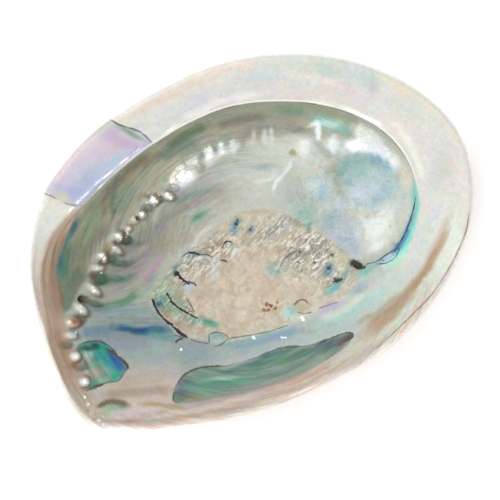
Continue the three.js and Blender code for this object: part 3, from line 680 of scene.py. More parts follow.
    ("bowl", [(39.4, 0), (41.6, 3.6), (46, 4.6), (51, 3.4), (55, 0), (57, -3.4)], (0.6, 0.9), 2.2,
     "97bab0", 0.75),
    ("bowl", [(38.4, -7), (38.2, -1), (40, 3)], 0.5, 1.6, "c4b6a4", 0.55),
    ("bowl", [(43, 1), (47, 0), (51, -1.6)], 0.5, 1.4, "a9c8c6", 0.7),
    ("bowl", [(53, 3), (56.4, -0.6), (58, -5)], 0.5, 1.8, "96b8cc", 0.65),
    # the white crescent over the hollow is a painted highlight
    ("bowl", [(46.6, 9.4), (51, 9.4), (55.4, 6.8), (59, 2.6), (60.8, -3), (60, -6.6)], (2, 1.3), 1.6,
     "ffffff", 1),
    ("bowl", [(36.6, -9), (38.6, -14), (38.4, -20), (35, -25)], 0.4, 1, "d2c9b4", 0.7),
    ("bowl", [(40, -12), (42.6, -15.6), (47, -17)], 0.4, 1.4, "cfc4ae", 0.6),
    ("bowl", [(40, 18), (40.6, 14), (42, 9)], 0.6, 1.6, "a9b8a8", 0.7),
    ("bowl", [(28, 9), (33, 8), (38, 9)], 0.5, 1.6, "d9cfc4", 0.6),
    ("bowl", [(28.6, 16.4), (24, 13.6), (20, 12.4), (16.4, 10)], 0.25, 0.8, "eceee8", 0.95),
    ("bowl", [(22, 15), (18, 14.4), (12, 16)], 0.3, 0.9, "dfe2dc", 0.7),
    # peach and pale streaks along the shelf
    ("shelf", [(-21, 61), (-8, 60.4), (8, 59.8), (24, 57), (38, 52)], 0.8, 2, "e2d3c4", 0.7),
    ("shelf", [(-16, 59.4), (-4, 59.2), (8, 58)], 0.4, 1.2, "dfc6b3", 0.5),
    ("shelf", [(70, 27), (77, 18), (82, 8), (85, -4), (84, -14)], 0.9, 2, "e0d6c4", 0.7),
    ("shelf", [(81, -18), (78, -26), (73, -32)], 0.8, 1.8, "e0d2cd", 0.7),
    ("shelf", [(0, 49.4), (16, 47.4), (32, 42)], 0.5, 1.4, "e9e2dc", 0.8),
    ("shelf", [(28, 47.6), (36, 44), (42, 39.6)], 0.3, 1.2, "d8c8bc", 0.6),
    ("shelf", [(40, 45.6), (50, 38), (58, 29)], 0.4, 1.2, "e4d6cf", 0.7),
    ("shelf", [(44, 40), (52, 33), (60, 24), (65, 14)], 0.5, 1.4, "cfd9d8", 0.6),
    ("shelf", [(50, 34), (56, 29.4), (60, 25)], 0.3, 1.2, "d9bfb6", 0.5),
    ("shelf", [(66, 12), (68.4, 4), (68.6, -6), (66, -16)], 0.5, 1.4, "e6e6d8", 0.7),
]
# inside the three windows, where an outer layer is worn away or a deeper one shows
WINDOW_WASHES = {
    "green": [
        (-20, -45, 60, 14, 0, "71917f", 1), (-15, -49.6, 30, 3, -8, "84988a", 0.8),
        (-48.6, -36.6, 4, 3.2, -20, "5f6878", 0.95), (-42, -39, 7, 1.8, -20, "6c9a86", 0.8),
        (6, -49.6, 10, 1.8, -12, "5a6876", 0.95), (12.6, -51, 4, 1.4, 0, "6a5a4e", 0.9),
        (-34, -42.6, 9, 1.2, -25, "4f8f76", 0.8), (-35, -40.6, 6, 0.7, -25, "a3bba9", 0.8),
        (-12, -45, 14, 1.2, -18, "5d8a70", 0.8), (-20, -41.4, 12, 0.8, -10, "4d6f7c", 0.8),
        (-47, -41.6, 4, 1.2, -20, "8b8a68", 0.9), (-28, -48.4, 8, 1, -14, "8d8f8c", 0.8),
    ],
    "teal": [
        (-68, -13, 14, 14, 0, "4b9f8c", 1), (-67.4, -9.4, 2.6, 3.4, 30, "1f9a80", 1),
        (-64.8, -16, 1.5, 4.2, 10, "28599e", 1), (-66.6, -16.6, 1.2, 2.4, 20, "2f7fb0", 0.9),
        (-69.2, -13, 1.6, 3.4, 25, "2b8a86", 0.9), (-75.4, -9.4, 3.4, 3, 0, "b29c94", 1),
        (-72, -8.6, 1.8, 1.4, -20, "a3bfae", 0.9), (-74, -15.6, 4.4, 2.4, -20, "b0a297", 0.95),
        (-73, -12.4, 3.4, 0.9, -22, "7fae8c", 0.9), (-71, -19.8, 4, 1.1, -12, "93b394", 0.9),
        (-67.6, -20.4, 1.8, 1.2, 0, "2d9a72", 0.95), (-76.6, -11, 2.2, 0.9, 0, "77584c", 0.8),
        (-71.6, -6.2, 3, 0.9, -34, "23594f", 0.95), (-68.4, -7.4, 1.6, 1, -50, "1d3c42", 0.85),
    ],
    "lavender": [
        (-35, 52, 60, 20, 0, "c5bdc7", 1), (-38, 57, 14, 3.4, 15, "d6c7cb", 0.95),
        (-43, 45, 9, 3.8, 18, "abb4ca", 1), (-48, 47.4, 5, 1.6, -40, "a6abd4", 0.85),
        (-24, 56, 4, 3, -50, "c1adc2", 0.95), (-21, 51, 5, 1.6, -50, "bfa5c1", 0.9),
        (-30, 47.6, 7, 2, 10, "aec0d0", 0.95), (-19, 46.8, 5, 0.9, 8, "9c95c4", 0.8),
        (-36, 52.6, 8, 1.2, 20, "c3c0d8", 0.8), (-30, 54.4, 5, 1, 0, "d6b9c9", 0.7),
        (-53, 44.6, 2.6, 4, -45, "cbc8ae", 0.9), (-25, 61, 5, 1.2, -5, "b9c3ad", 0.9),
        (-18.2, 54.6, 5.4, 0.9, -62, "7c9a80", 0.95), (-45, 52, 5, 1.6, 30, "c4c1d6", 0.8),
    ],
}
# how dark and crisp a window's edge is: x, y, half length, half width, turn, strength
CRISP_EDGES = [
    (-36, -34, 22, 3.6, -6, 1), (-8, -42, 18, 3.2, -16, 0.9), (9, -48.6, 9, 1.9, -10, 1),
    (15, -51, 3, 2.6, 0, 1), (-53, -38, 2.6, 2.6, 0, 1), (6, -53.4, 8, 1.2, 0, 0.5),
    (-64, -12, 3.6, 11, 12, 1), (-71, -21, 8, 2.4, -10, 1), (-69, -4.6, 5, 2.2, -20, 1),
    (-17, 53, 4, 9, 24, 1), (-20, 58.6, 5, 3, -40, 1), (-54, 49, 2.4, 3.4, 35, 0.5),
    (-50, 42, 2, 2.6, 35, 0.3),
]
# dark and light lines: points, half width, colour, strength
LINES = [
    ([(-42.2, -2.2), (-43, -6), (-42.6, -10), (-41, -14.5), (-39.8, -18.5), (-38, -22)], 0.20, "33201c", 1),
    ([(-36.6, -3), (-36.6, -7), (-35.4, -10.6), (-33.4, -14), (-31.2, -17.8)], 0.17, "3a2722", 1),
    ([(-31.3, -9), (-31, -12), (-31.2, -14.6)], 0.10, "6a5850", 0.8),
    ([(-42.8, -20.9), (-41, -20.6), (-39.6, -21)], 0.2, "453a34", 0.9),
    ([(-37.4, -22.6), (-34.6, -25.6), (-32.2, -27.4)], 0.12, "74705f", 0.9),
    ([(-25.4, -29.4), (-18, -32.3), (-10, -34.9), (-3, -36.2)], 0.12, "66796c", 0.8),
    ([(-32, -27.4), (-30.4, -24.9), (-27, -26), (-25, -29), (-28, -30), (-31.2, -29.2)], 0.14, "5c7a72",
     0.9),
    ([(-25, 5.5), (-22, 5.6), (-19.6, 4), (-18.6, 2.6)], 0.20, "27302f", 0.95),
    ([(-18.6, 2.8), (-16.4, 1.6), (-15.2, -0.2)], 0.16, "4c5a5c", 0.9),
    ([(-10.4, 0.6), (-8.6, 2), (-7, 1.9), (-6, 0.5)], 0.17, "23292b", 1),
    ([(-13.2, -3), (-12, -3.4), (-11.2, -4.6)], 0.18, "3a3330", 0.95),
    ([(-29.8, -4), (-28, -3.6), (-26.2, -5), (-25.8, -6.6)], 0.14, "404b4e", 0.9),
    ([(-29.4, 2), (-29, -1.4), (-27.6, -4.6)], 0.22, "20292e", 1),
    # painted shadow along the scar's lower edge
    ([(9.6, -36.6), (13, -37.2), (17, -38)], 0.10, "80705f", 0.7),
    ([(-65.4, -10), (-63.6, -14.4), (-62.2, -18.4), (-62.6, -20.8)], 0.20, "5c3a2e", 0.9),
    ([(33, -31), (37, -32.2), (41, -31.8), (45.4, -31.4)], 0.11, "3f4f4a", 0.9),
    ([(61.4, -18.6), (58, -22.6), (53.4, -26.8), (48.6, -30), (44.4, -32)], 0.15, "27406e", 0.9),
    ([(36.4, -33), (40, -34.4), (44, -34), (47, -31.6)], 0.11, "355069", 0.85),
    ([(75.4, -33), (70, -39.3), (60, -46.4), (50, -51.7), (40, -55), (30, -57.6), (20, -59.8)], 0.13,
     "a9766c", 0.85),
    ([(5, -16), (9, -14), (14, -14)], 0.15, "5c6a60", 0.8),
    ([(2.4, -31), (5, -30.4), (6.6, -31.4), (7.2, -33)], 0.16, "6d6452", 0.85),
    ([(2, -34), (3.6, -35.4), (6.6, -36.6)], 0.14, "6f7a74", 0.8),
    ([(-56.6, 50.6), (-54, 47.2)], 0.14, "94836a", 0.8),
    ([(-52, 43.8), (-48.8, 40.8)], 0.14, "a08f6a", 0.7),
    ([(-80, -19.8), (-76, -19.9), (-72.6, -20.6)], 0.16, "5c4438", 0.9),
]
# the broken parts of the scar: x, y, half length, half width, turn, strength
BUSY_SPOTS = [
    (17, -16, 12, 10, 0, 1.0), (-16, 1, 20, 6.5, 0, 0.8), (10, -3, 12, 5, 0, 0.8), (20, -30, 9, 5, 0, 0.6),
    (-36, -8, 7, 14, 15, 0.5),
]
# the left, lower and upper parts of the floor that the growth streaks cross
STREAKY_SPOTS = [(-52, 2, 24, 18, 10, 0.6), (-52, -7, 16, 8, -30, 0.8), (-16, 18, 26, 9, 10, 0.75)]
# a window's outline, the layer it lies in and how far it is sunk, in mm
WINDOWS = {
    "green": (GREEN_PATCH, "bowl", 0.35),
    "teal": (TEAL_PATCH, "bowl", 0.45),
    "lavender": (LAVENDER_PATCH, "shelf", 0.22),
}
# the lines in LINES, by their place there, that have a step beside them, and its height in mm
STEPPED_LINES = {0: 0.9, 1: 0.8, 7: 0.5, 9: 0.5}


# ---- colours ----

def rgb(code):
    return np.array([int(code[i:i + 2], 16) for i in (0, 2, 4)]) / 255.0


def to_linear(colour):
    return np.where(colour <= 0.04045, colour / 12.92, ((colour + 0.055) / 1.055) ** 2.4)


def laid_over(tint, share, code):
    """A colour laid over a tint, as strongly as the share says at every vertex."""
    return tint + share[..., None] * (rgb(code) - tint)


# ---- the plan of one shell, worked out at every vertex ----

class Plan:
    """Where every vertex is, and the masks that the relief and the tints share."""

    def __init__(self, points, directions):
        self.x, self.y = points[..., 0], points[..., 1]
        ring = np.arange(points.shape[1])[None, :]
        self.ring = ring * np.ones(self.x.shape)
        self.directions = np.repeat(directions[:, None], points.shape[1], 1)
        self.free = share_of(LIP_SPAN, self.directions)
        self.inner = (ring < RIM_RING) & np.ones(self.x.shape, bool)
        self.shelf = self.free * (ring > NOSE_RING) * self.inner
        self.bowl = (1 - self.shelf) * self.inner
        warp_x = soft_noise(self.x, self.y, 5.0, 11) + 0.6 * soft_noise(self.x, self.y, 1.9, 12)
        warp_y = soft_noise(self.x, self.y, 5.0, 13) + 0.6 * soft_noise(self.x, self.y, 1.9, 14)
        self.wx, self.wy = self.x + 0.38 * warp_x, self.y + 0.38 * warp_y
        self.scar = depth_inside(SCAR, self.x, self.y)
        self.in_scar = smoothstep(-0.6, 1.2, self.scar)
        rim_radius, = around_hub(RIM)(directions)
        self.rim_gap = rim_radius[:, None] - np.hypot(self.x - HUB[0], self.y - HUB[1])
        self.layers = {
            "bowl": self.bowl, "shelf": self.shelf, "both": 1.0 * self.inner,
            "scar": smoothstep(-0.8, 1.0, self.scar) * self.bowl,
        }
        self.windows = {
            name: depth_inside(outline, self.x, self.y) for name, (outline, _, _) in WINDOWS.items()
        }
        path = np.linalg.norm(np.diff(points, axis=1, prepend=points[:, :1]), axis=2)
        self.path = np.cumsum(path, 1)
        self.past_nose = self.path - self.path[:, NOSE_RING:NOSE_RING + 1]

    def spot(self, cx, cy, long, wide, turn=0.0, power=2.0):
        """1 in the middle of a turned oval, falling smoothly to 0 outside it."""
        return np.exp(-oval(self.x, self.y, cx, cy, long, wide, turn) ** power)

    def strongest(self, spots, power=2.0):
        """The strongest of some spots, each with its strength as its last value."""
        return np.max([share * self.spot(*place, power) for *place, share in spots], axis=0)


def spiral_of_back(plan):
    """Growth and turn of the back about the spire: growth is 1 at the rim and 0 at the apex."""
    x, y = plan.x - SPIRE[0], plan.y - SPIRE[1]
    turn = np.arctan2(y, x)
    away = np.hypot(x, y) + 0.4
    rim = np.array([[HUB[0] + r * math.cos(math.radians(a)), HUB[1] + r * math.sin(math.radians(a))]
                    for a, r in RIM]) - SPIRE
    order = np.argsort(np.arctan2(rim[:, 1], rim[:, 0]))
    angles = np.arctan2(rim[:, 1], rim[:, 0])[order]
    reach = np.hypot(rim[:, 0], rim[:, 1])[order]

    def growth_at(directions):
        return np.clip(away / np.interp(directions, angles, reach, period=2 * math.pi), 0.02, 1.05)

    growth = growth_at(turn)
    for _ in range(3):
        growth = growth_at(turn - SPIRAL_TWIST * np.log(growth))
    return growth, turn - SPIRAL_TWIST * np.log(growth)


# ---- relief, in mm towards the eye ----

def pore_relief(plan):
    """The knobs, the hollows beside them, and the specks."""
    height = np.zeros(plan.x.shape)
    for cx, cy, long, wide, turn, rise in KNOBS:
        height += KNOB_SHARE * rise * plan.spot(cx, cy, 0.9 * long, 0.9 * wide, turn, 1.1)
    for cx, cy, long, wide, turn, depth in HOLLOWS:
        height -= depth * plan.spot(cx, cy, long, wide, turn, 1.2)
    for cx, cy, radius, depth, _ in SPECKS:
        height -= depth * plan.spot(cx, cy, radius, radius)
    return height


def spire_relief(plan):
    """The spire's hollow with its raised edge, and the hollow and the swelling beside it."""
    spire = oval(plan.x, plan.y, *SPIRE_HOLLOW)
    edge = np.exp(-((np.sqrt(spire) - 1.15) / 0.22) ** 2)
    height = 0.5 * edge - 1.8 * np.exp(-1.2 * spire**1.5)
    return height - 0.9 * plan.spot(33.2, -17, 5.6, 8.4, 12) + 0.6 * plan.spot(43, -20, 6, 5, power=1.0)


def scar_relief(plan):
    """The muscle scar's rough and ridged surface, two blisters by it and the steps at its lines."""
    x, y = plan.x, plan.y
    rough = (
        0.30 * soft_noise(x, y, 3.4, 21) + 0.20 * soft_noise(x, y, 1.7, 22)
        - 0.40 * np.abs(soft_noise(x + 0.6 * y, y * 1.4, 2.6, 23))
        - 0.30 * np.abs(soft_noise(x, y, 1.25, 24))
    )
    ridged = 1 - 2 * np.abs(soft_noise(x * 0.3 + y * 0.1, y - 0.12 * x, 1.2, 25))
    height = plan.in_scar * (0.45 + rough * (0.22 + 1.2 * busy_scar(plan)))
    height += plan.in_scar * 0.36 * ridged * plan.spot(12, -6, 16, 6.5, 6)
    height += 0.35 * (plan.spot(-28.6, -27.4, 3, 2.0, -32) + plan.spot(1, -34, 2.6, 2.0, -40))
    for index, rise in STEPPED_LINES.items():
        gap, along = distance_to(smooth_line(LINES[index][0]), x, y)
        ends = smoothstep(0.0, 0.08, along) * (1 - smoothstep(0.92, 1.0, along))
        height += rise * ends * np.where(gap > 0, np.exp(-np.abs(gap) / 2.0), -0.5 * np.exp(-np.abs(gap)))
    return height


def growth_relief(plan):
    """Faint waves, the open side's layered edge and a crumbled stretch beside the scar."""
    waves = soft_noise(plan.directions * 0.25, plan.ring * 0.22, 1.0, 31)
    waves += 0.5 * soft_noise(plan.directions * 0.4, plan.ring * 0.5, 1.0, 34)
    edge = smoothstep(10.0, 0.0, plan.rim_gap) * (1 - plan.free)
    layers = np.sin(plan.rim_gap * 2.1 + 1.6 * soft_noise(plan.x, plan.y, 14.0, 32))
    crumbs = plan.free * plan.spot(42, -33.4, 7, 2.2, 14, 1.0) * soft_noise(plan.x, plan.y, 1.6, 33)
    return 0.06 * waves * (1 - plan.in_scar) + 0.20 * edge * layers + 0.5 * crumbs


def window_relief(plan):
    """The windows lie a little lower than the layer around them."""
    depth = np.zeros(plan.x.shape)
    for name, (_, layer, sunk) in WINDOWS.items():
        depth += sunk * smoothstep(-0.5, 0.6, plan.windows[name]) * plan.layers[layer]
    return -depth


def shelf_relief(plan):
    """The shelf's gentle unevenness."""
    gentle = 0.25 * soft_noise(plan.x, plan.y, 13.0, 41) + 0.12 * soft_noise(plan.x, plan.y, 5.0, 42)
    return gentle * plan.shelf * smoothstep(0.0, 3.0, plan.rim_gap)


def back_relief(plan, growth, started):
    """Growth steps, spiral ribs, the coiled spire and the raised pores, all cut inwards."""
    wobble = 0.012 * soft_noise(plan.x, plan.y, 9.0, 51)
    steps = np.log(growth) * GROWTH_STEPS + 14 * wobble
    cut = 0.35 * (steps % 1.0) + 0.22 * (0.5 + 0.5 * np.sin(steps * 4 * math.pi))
    ribs = 0.5 + 0.5 * np.cos(started * RIBS + 2.5 * soft_noise(plan.x, plan.y, 16.0, 52))
    cut += 0.40 * (1 - ribs) * smoothstep(0.15, 0.5, growth)
    cut += 0.35 * (0.5 + 0.5 * soft_noise(plan.x, plan.y, 4.0, 53))
    coil = (np.log(growth + 1e-3) / -SPIRAL_TWIST + started / (2 * math.pi)) % 1.0
    cut += 1.3 * np.exp(-((coil - 0.5) / 0.09) ** 2) * smoothstep(0.45, 0.25, growth)
    for cx, cy, long, wide, turn, _ in HOLLOWS[:PORES_OUTSIDE]:
        ringed = np.sqrt(oval(plan.x, plan.y, cx, cy, long + 0.8, wide + 0.8, turn))
        cut += 0.9 * (np.exp(-3 * ringed**4) - np.exp(-((ringed - 0.9) / 0.35) ** 2))
    away = np.hypot(plan.x - REST[0], plan.y - REST[1])
    return -np.maximum(cut, 0.0) * (1.0 - plan.inner) * smoothstep(14.0, 24.0, away)


# ---- masks for the material ----

def busy_scar(plan):
    """Where the muscle scar is broken into small scales and squiggles."""
    return plan.strongest(BUSY_SPOTS, 1.5)


def streakiness(plan):
    """How strongly the fine growth streaks show: strongest on the wall and the left floor."""
    far = np.hypot(plan.x - HUB[0], plan.y - HUB[1])
    wall = smoothstep(28, 42, far) * plan.free * plan.bowl * (1 - 0.75 * smoothstep(0.0, 30.0, plan.x))
    edge = 0.6 * smoothstep(14.0, 4.0, plan.rim_gap) * (1 - plan.free)
    strong = np.max([wall, plan.strongest(STREAKY_SPOTS) * plan.bowl, edge], axis=0)
    strong = strong * (1 - 0.95 * plan.spot(*CALM_SPIRE))
    return (0.08 + 0.87 * strong) * (1 - 0.9 * plan.in_scar * plan.bowl)


def window_depth(plan):
    """Depth inside the nearest window, positive inside it."""
    depths = [
        np.where(plan.layers[layer] > 0.5, plan.windows[name], -6.0)
        for name, (_, layer, _) in WINDOWS.items()
    ]
    return np.max(depths, axis=0)


def edge_crispness(plan):
    """How crisp and dark a window's edge is, faint where no spot says otherwise."""
    return np.maximum(0.12, plan.strongest(CRISP_EDGES))


def line_layers(plan):
    """The nearest line at every vertex: signed distance, ink, half width and colour."""
    side = np.full(plan.x.shape, 9.0)
    ink = np.zeros(plan.x.shape)
    half = np.full(plan.x.shape, 0.2)
    colour = np.ones(plan.x.shape + (3,)) * 0.3
    for points, width, code, strength in LINES:
        gap, along = distance_to(smooth_line(points), plan.x, plan.y)
        nearer = np.abs(gap) < np.abs(side)
        ends = smoothstep(0.0, 0.03, along) * (1 - smoothstep(0.97, 1.0, along))
        here = strength * ends * (1 - smoothstep(1.6, 2.6, np.abs(gap))) * plan.inner
        side = np.where(nearer, gap, side)
        ink = np.where(nearer, here, ink)
        half = np.where(nearer, width, half)
        colour = np.where(nearer[..., None], rgb(code), colour)
    return side, ink, half, colour


def speck_layers(plan):
    """Depth inside the nearest speck, and its colour."""
    depth = np.full(plan.x.shape, -3.0)
    colour = np.ones(plan.x.shape + (3,)) * 0.2
    for cx, cy, radius, _, code in SPECKS:
        here = radius - np.hypot(plan.x - cx, plan.y - cy)
        nearer = here > depth
        depth = np.where(nearer, here, depth)
        colour = np.where(nearer[..., None], rgb(code), colour)
    return np.where(plan.bowl > 0.5, depth, -3.0), colour


# ---- tints ----

def with_washes(plan, tint, washes, layer):
    """Soft oval patches, in turn."""
    for cx, cy, long, wide, turn, code, strength in washes:
        spread = oval(plan.wx, plan.wy, cx, cy, long, wide, turn)
        tint = laid_over(tint, strength * np.exp(-0.7 * spread**1.5) * layer, code)
    return tint


def with_streaks(plan, tint):
    """Streaks that taper and fade towards both ends, in turn."""
    for layer, points, half, soft, code, strength in STREAKS:
        gap, along = distance_to(smooth_line(points, step=STREAK_STEP), plan.wx, plan.wy)
        first, last = half if isinstance(half, tuple) else (half, half)
        taper = smoothstep(0.0, 0.15, along) * (1 - smoothstep(0.85, 1.0, along))
        reach = (first + (last - first) * along) * (0.3 + 0.7 * taper)
        share = (1 - smoothstep(reach, reach + soft, np.abs(gap))) * (0.35 + 0.65 * taper)
        tint = laid_over(tint, strength * share * plan.layers[layer], code)
    return tint


def with_hollows(plan, tint):
    """Painted shade in the hollows: olive, stronger in the deeper ones, with a dark green lower edge."""
    for cx, cy, long, wide, turn, depth in HOLLOWS:
        spread = oval(plan.x, plan.y, cx, cy, long, wide, turn)
        deep = min(1.0, depth) * plan.bowl
        # painted shade inside each hollow
        tint = laid_over(tint, 0.80 * deep * np.exp(-spread**1.6), "5f6f60")
        # painted shade along each hollow's lower edge
        ring = np.exp(-(((np.sqrt(spread) - 0.85) / 0.30) ** 2))
        lower = 0.5 + 0.5 * np.tanh((cy - plan.y + 0.6 * (plan.x - cx)) / 1.2)
        tint = laid_over(tint, 0.85 * deep * ring * lower, "2c4f40")
    return tint


def with_knobs(plan, tint):
    """Painted highlight on each knob's top, and painted shade along its lower edge."""
    for cx, cy, long, wide, turn, rise in KNOBS:
        spread = np.sqrt(oval(plan.x, plan.y, cx, cy, long, wide, turn))
        # painted shade along each knob's lower side
        ring = np.exp(-(((spread - 1.30) / 0.32) ** 2))
        lower = 0.5 + 0.5 * np.tanh((cy - plan.y + plan.x - cx) / 1.4)
        tint = laid_over(tint, 0.85 * min(1.0, rise**2) * plan.bowl * ring * lower, "5a4436")
        # painted highlight on each knob's top, stronger on the higher knobs
        top = np.exp(-((1.15 * spread) ** 4))
        tint = laid_over(tint, min(0.95, 0.85 * rise) * top * plan.bowl, "fafaf6")
    return tint


def tint_of(plan):
    """The colour of the nacre at every vertex, without the windows, with painted highlights and shade laid
    into it.
    """
    tint = laid_over(np.ones(plan.x.shape + (3,)) * rgb(GROUND["bowl"]), plan.shelf, GROUND["shelf"])
    for layer in ("bowl", "shelf", "both"):
        tint = with_washes(plan, tint, WASHES[layer], plan.layers[layer])
    tint = with_knobs(plan, with_hollows(plan, with_streaks(plan, tint)))
    for cx, cy, long, wide, code in PORE_MARKS:
        tint = laid_over(tint, 0.9 * plan.spot(cx, cy, long, wide, -40, 1.4) * plan.bowl, code)
    tint = with_washes(plan, tint, WASHES["scar"], plan.layers["scar"])
    left_end = smoothstep(-60.0, -78.0, plan.x) * plan.inner
    # the rim's edge is pale, and is whitened further as painted light against the shade on its steep side
    pale_edge = np.exp(-((plan.rim_gap / 1.6) ** 2)) * (0.55 + 0.45 * left_end)
    return laid_over(tint, 0.95 * pale_edge, "fdfbf5")


def window_tint_of(plan):
    """The colour of the deeper layer that the windows show."""
    tint = np.ones(plan.x.shape + (3,)) * rgb("8f9f94")
    near = {"green": plan.y < -31, "teal": (plan.x < -58) & (plan.y < 0), "lavender": plan.y > 30}
    for name, washes in WINDOW_WASHES.items():
        tint = with_washes(plan, tint, washes, near[name])
    return tint


# ---- the mesh ----

def ray_directions():
    even = np.arange(RAYS) * 360.0 / RAYS
    return even - CROWDING * np.degrees(np.sin(np.radians(even - CROWDED_AT)))


def outward_normals(points):
    along = np.roll(points, -1, 0) - np.roll(points, 1, 0)
    across = np.empty_like(points)
    across[:, 1:-1] = points[:, 2:] - points[:, :-2]
    across[:, 0], across[:, -1] = across[:, 1], across[:, -2]
    normal = np.cross(across, along)
    length = np.linalg.norm(normal, axis=2, keepdims=True)
    normal = normal / np.maximum(length, 1e-9)
    normal[:, 0], normal[:, -1] = (0, 0, 1), (0, 0, -1)
    return normal


def place_in_frame(points, base):
    """Moves the skin into the frame: the smooth skin's box is fitted to the CAD shell's."""
    low, high = (np.array(corner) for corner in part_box("shell"))
    skin_low, skin_high = base.reshape(-1, 3).min(0), base.reshape(-1, 3).max(0)
    scale = (high - low) / (skin_high - skin_low)
    return low + (points - skin_low) * scale


def grid_faces(rays, rings):
    """Triangle fans at the hub and the base, quads between, over vertices ordered hub, rays, base."""
    ray = np.arange(rays)[:, None]
    ring = np.arange(rings - 1)[None, :]
    following = (ray + 1) % rays
    corner = 1 + ray * rings + ring
    beside = 1 + following * rings + ring
    quads = np.stack([corner, corner + 1, beside + 1, beside], 2).reshape(-1, 4)
    first = 1 + np.arange(rays) * rings
    after = 1 + ((np.arange(rays) + 1) % rays) * rings
    hub_fan = np.column_stack([np.zeros(rays, int), first, after])
    base = np.full(rays, 1 + rays * rings)
    base_fan = np.column_stack([first + rings - 1, base, after + rings - 1])
    return quads.tolist() + hub_fan.tolist() + base_fan.tolist()


def per_vertex(values):
    """An array over rays and rings as one row per vertex: the hub, each ray, the base."""
    flat = values.reshape(values.shape[0], values.shape[1], -1)
    middle = flat[:, 1:-1].reshape(-1, flat.shape[2])
    return np.concatenate([flat[:, 0].mean(0)[None], middle, flat[:, -1].mean(0)[None]])


def add_attribute(mesh, name, values):
    rows = per_vertex(values)
    kinds = {1: ("FLOAT", "value"), 3: ("FLOAT_VECTOR", "vector"), 4: ("FLOAT_COLOR", "color")}
    kind, field = kinds[rows.shape[1]]
    attribute = mesh.attributes.new(name, kind, "POINT")
    attribute.data.foreach_set(field, rows.astype(np.float32).ravel())


def add_colour(mesh, name, colour):
    linear = to_linear(np.clip(colour, 0.0, 1.0))
    add_attribute(mesh, name, np.concatenate([linear, np.ones(linear.shape[:-1] + (1,))], -1))


def flow_of(plan, growth, started, back):
    """Where every vertex is along and across the shell's growth, inside and on the back."""
    turn = np.radians(plan.directions)
    inside = np.stack([FLOW_REACH * np.cos(turn), FLOW_REACH * np.sin(turn), plan.path], -1)
    outside = np.stack([10 * np.cos(started), 10 * np.sin(started), 60 * np.log(growth)], -1)
    return np.where(back[..., None] > 0.0, outside, inside)


def store_masks(mesh, plan, growth, started):
    """Stores what the material reads at every vertex."""
    side, ink, half, line_colour = line_layers(plan)
    speck, speck_colour = speck_layers(plan)
    back = smoothstep(RIM_RING + 4, RIM_RING + 9, plan.ring)
    colours = {
        "tint": tint_of(plan), "window_tint": window_tint_of(plan), "line_colour": line_colour,
        "speck_colour": speck_colour,
    }
    masks = {
        "window": window_depth(plan), "window_edge": edge_crispness(plan),
        "line_side": side, "line_ink": ink, "line_half": half, "speck": speck,
        "scar": np.where(plan.bowl > 0.5, plan.scar, -6.0), "rim_gap": plan.rim_gap,
        "open_side": (1 - plan.free) * plan.inner, "back": back,
        "past_nose": np.clip(plan.past_nose, -8.0, 8.0),
        "lip_highlight": plan.free * share_of(LIP_HIGHLIGHT_SPAN, plan.directions),
        "lip_shade": plan.free * share_of(LIP_SHADE_SPAN, plan.directions),
        "busy": busy_scar(plan), "streaky": streakiness(plan),
        "curds": plan.spot(*CURDLED) * plan.bowl,
        "fan": plan.spot(*FANNED) * plan.bowl,
        "flow": flow_of(plan, growth, started, back),
    }
    for name, colour in colours.items():
        add_colour(mesh, name, colour)
    for name, values in masks.items():
        add_attribute(mesh, name, values)


def build_shell():
    directions = ray_directions()
    base = skin_points(directions)
    base[..., 2] = np.maximum(base[..., 2], 0.0)
    plan = Plan(base, directions)
    growth, started = spiral_of_back(plan)
    bowl = (pore_relief(plan) + spire_relief(plan) + scar_relief(plan) + growth_relief(plan)) * plan.bowl
    relief = bowl + window_relief(plan) + shelf_relief(plan) + back_relief(plan, growth, started)
    rim_calm = smoothstep(0.0, 4.0, np.abs(plan.ring - RIM_RING))
    points = base + outward_normals(base) * (relief * rim_calm)[..., None]
    points[..., 2] = np.maximum(points[..., 2], 0.0)
    placed = place_in_frame(points, base)

    mesh = bpy.data.meshes.new("abalone_shell")
    mesh.from_pydata(per_vertex(placed).tolist(), [], grid_faces(RAYS, base.shape[1] - 2))
    mesh.polygons.foreach_set("use_smooth", [True] * len(mesh.polygons))
    store_masks(mesh, plan, growth, started)
    mesh.update()
    shell = bpy.data.objects.new("abalone_shell", mesh)
    bpy.context.scene.collection.objects.link(shell)
    return shell


# ---- materials ----

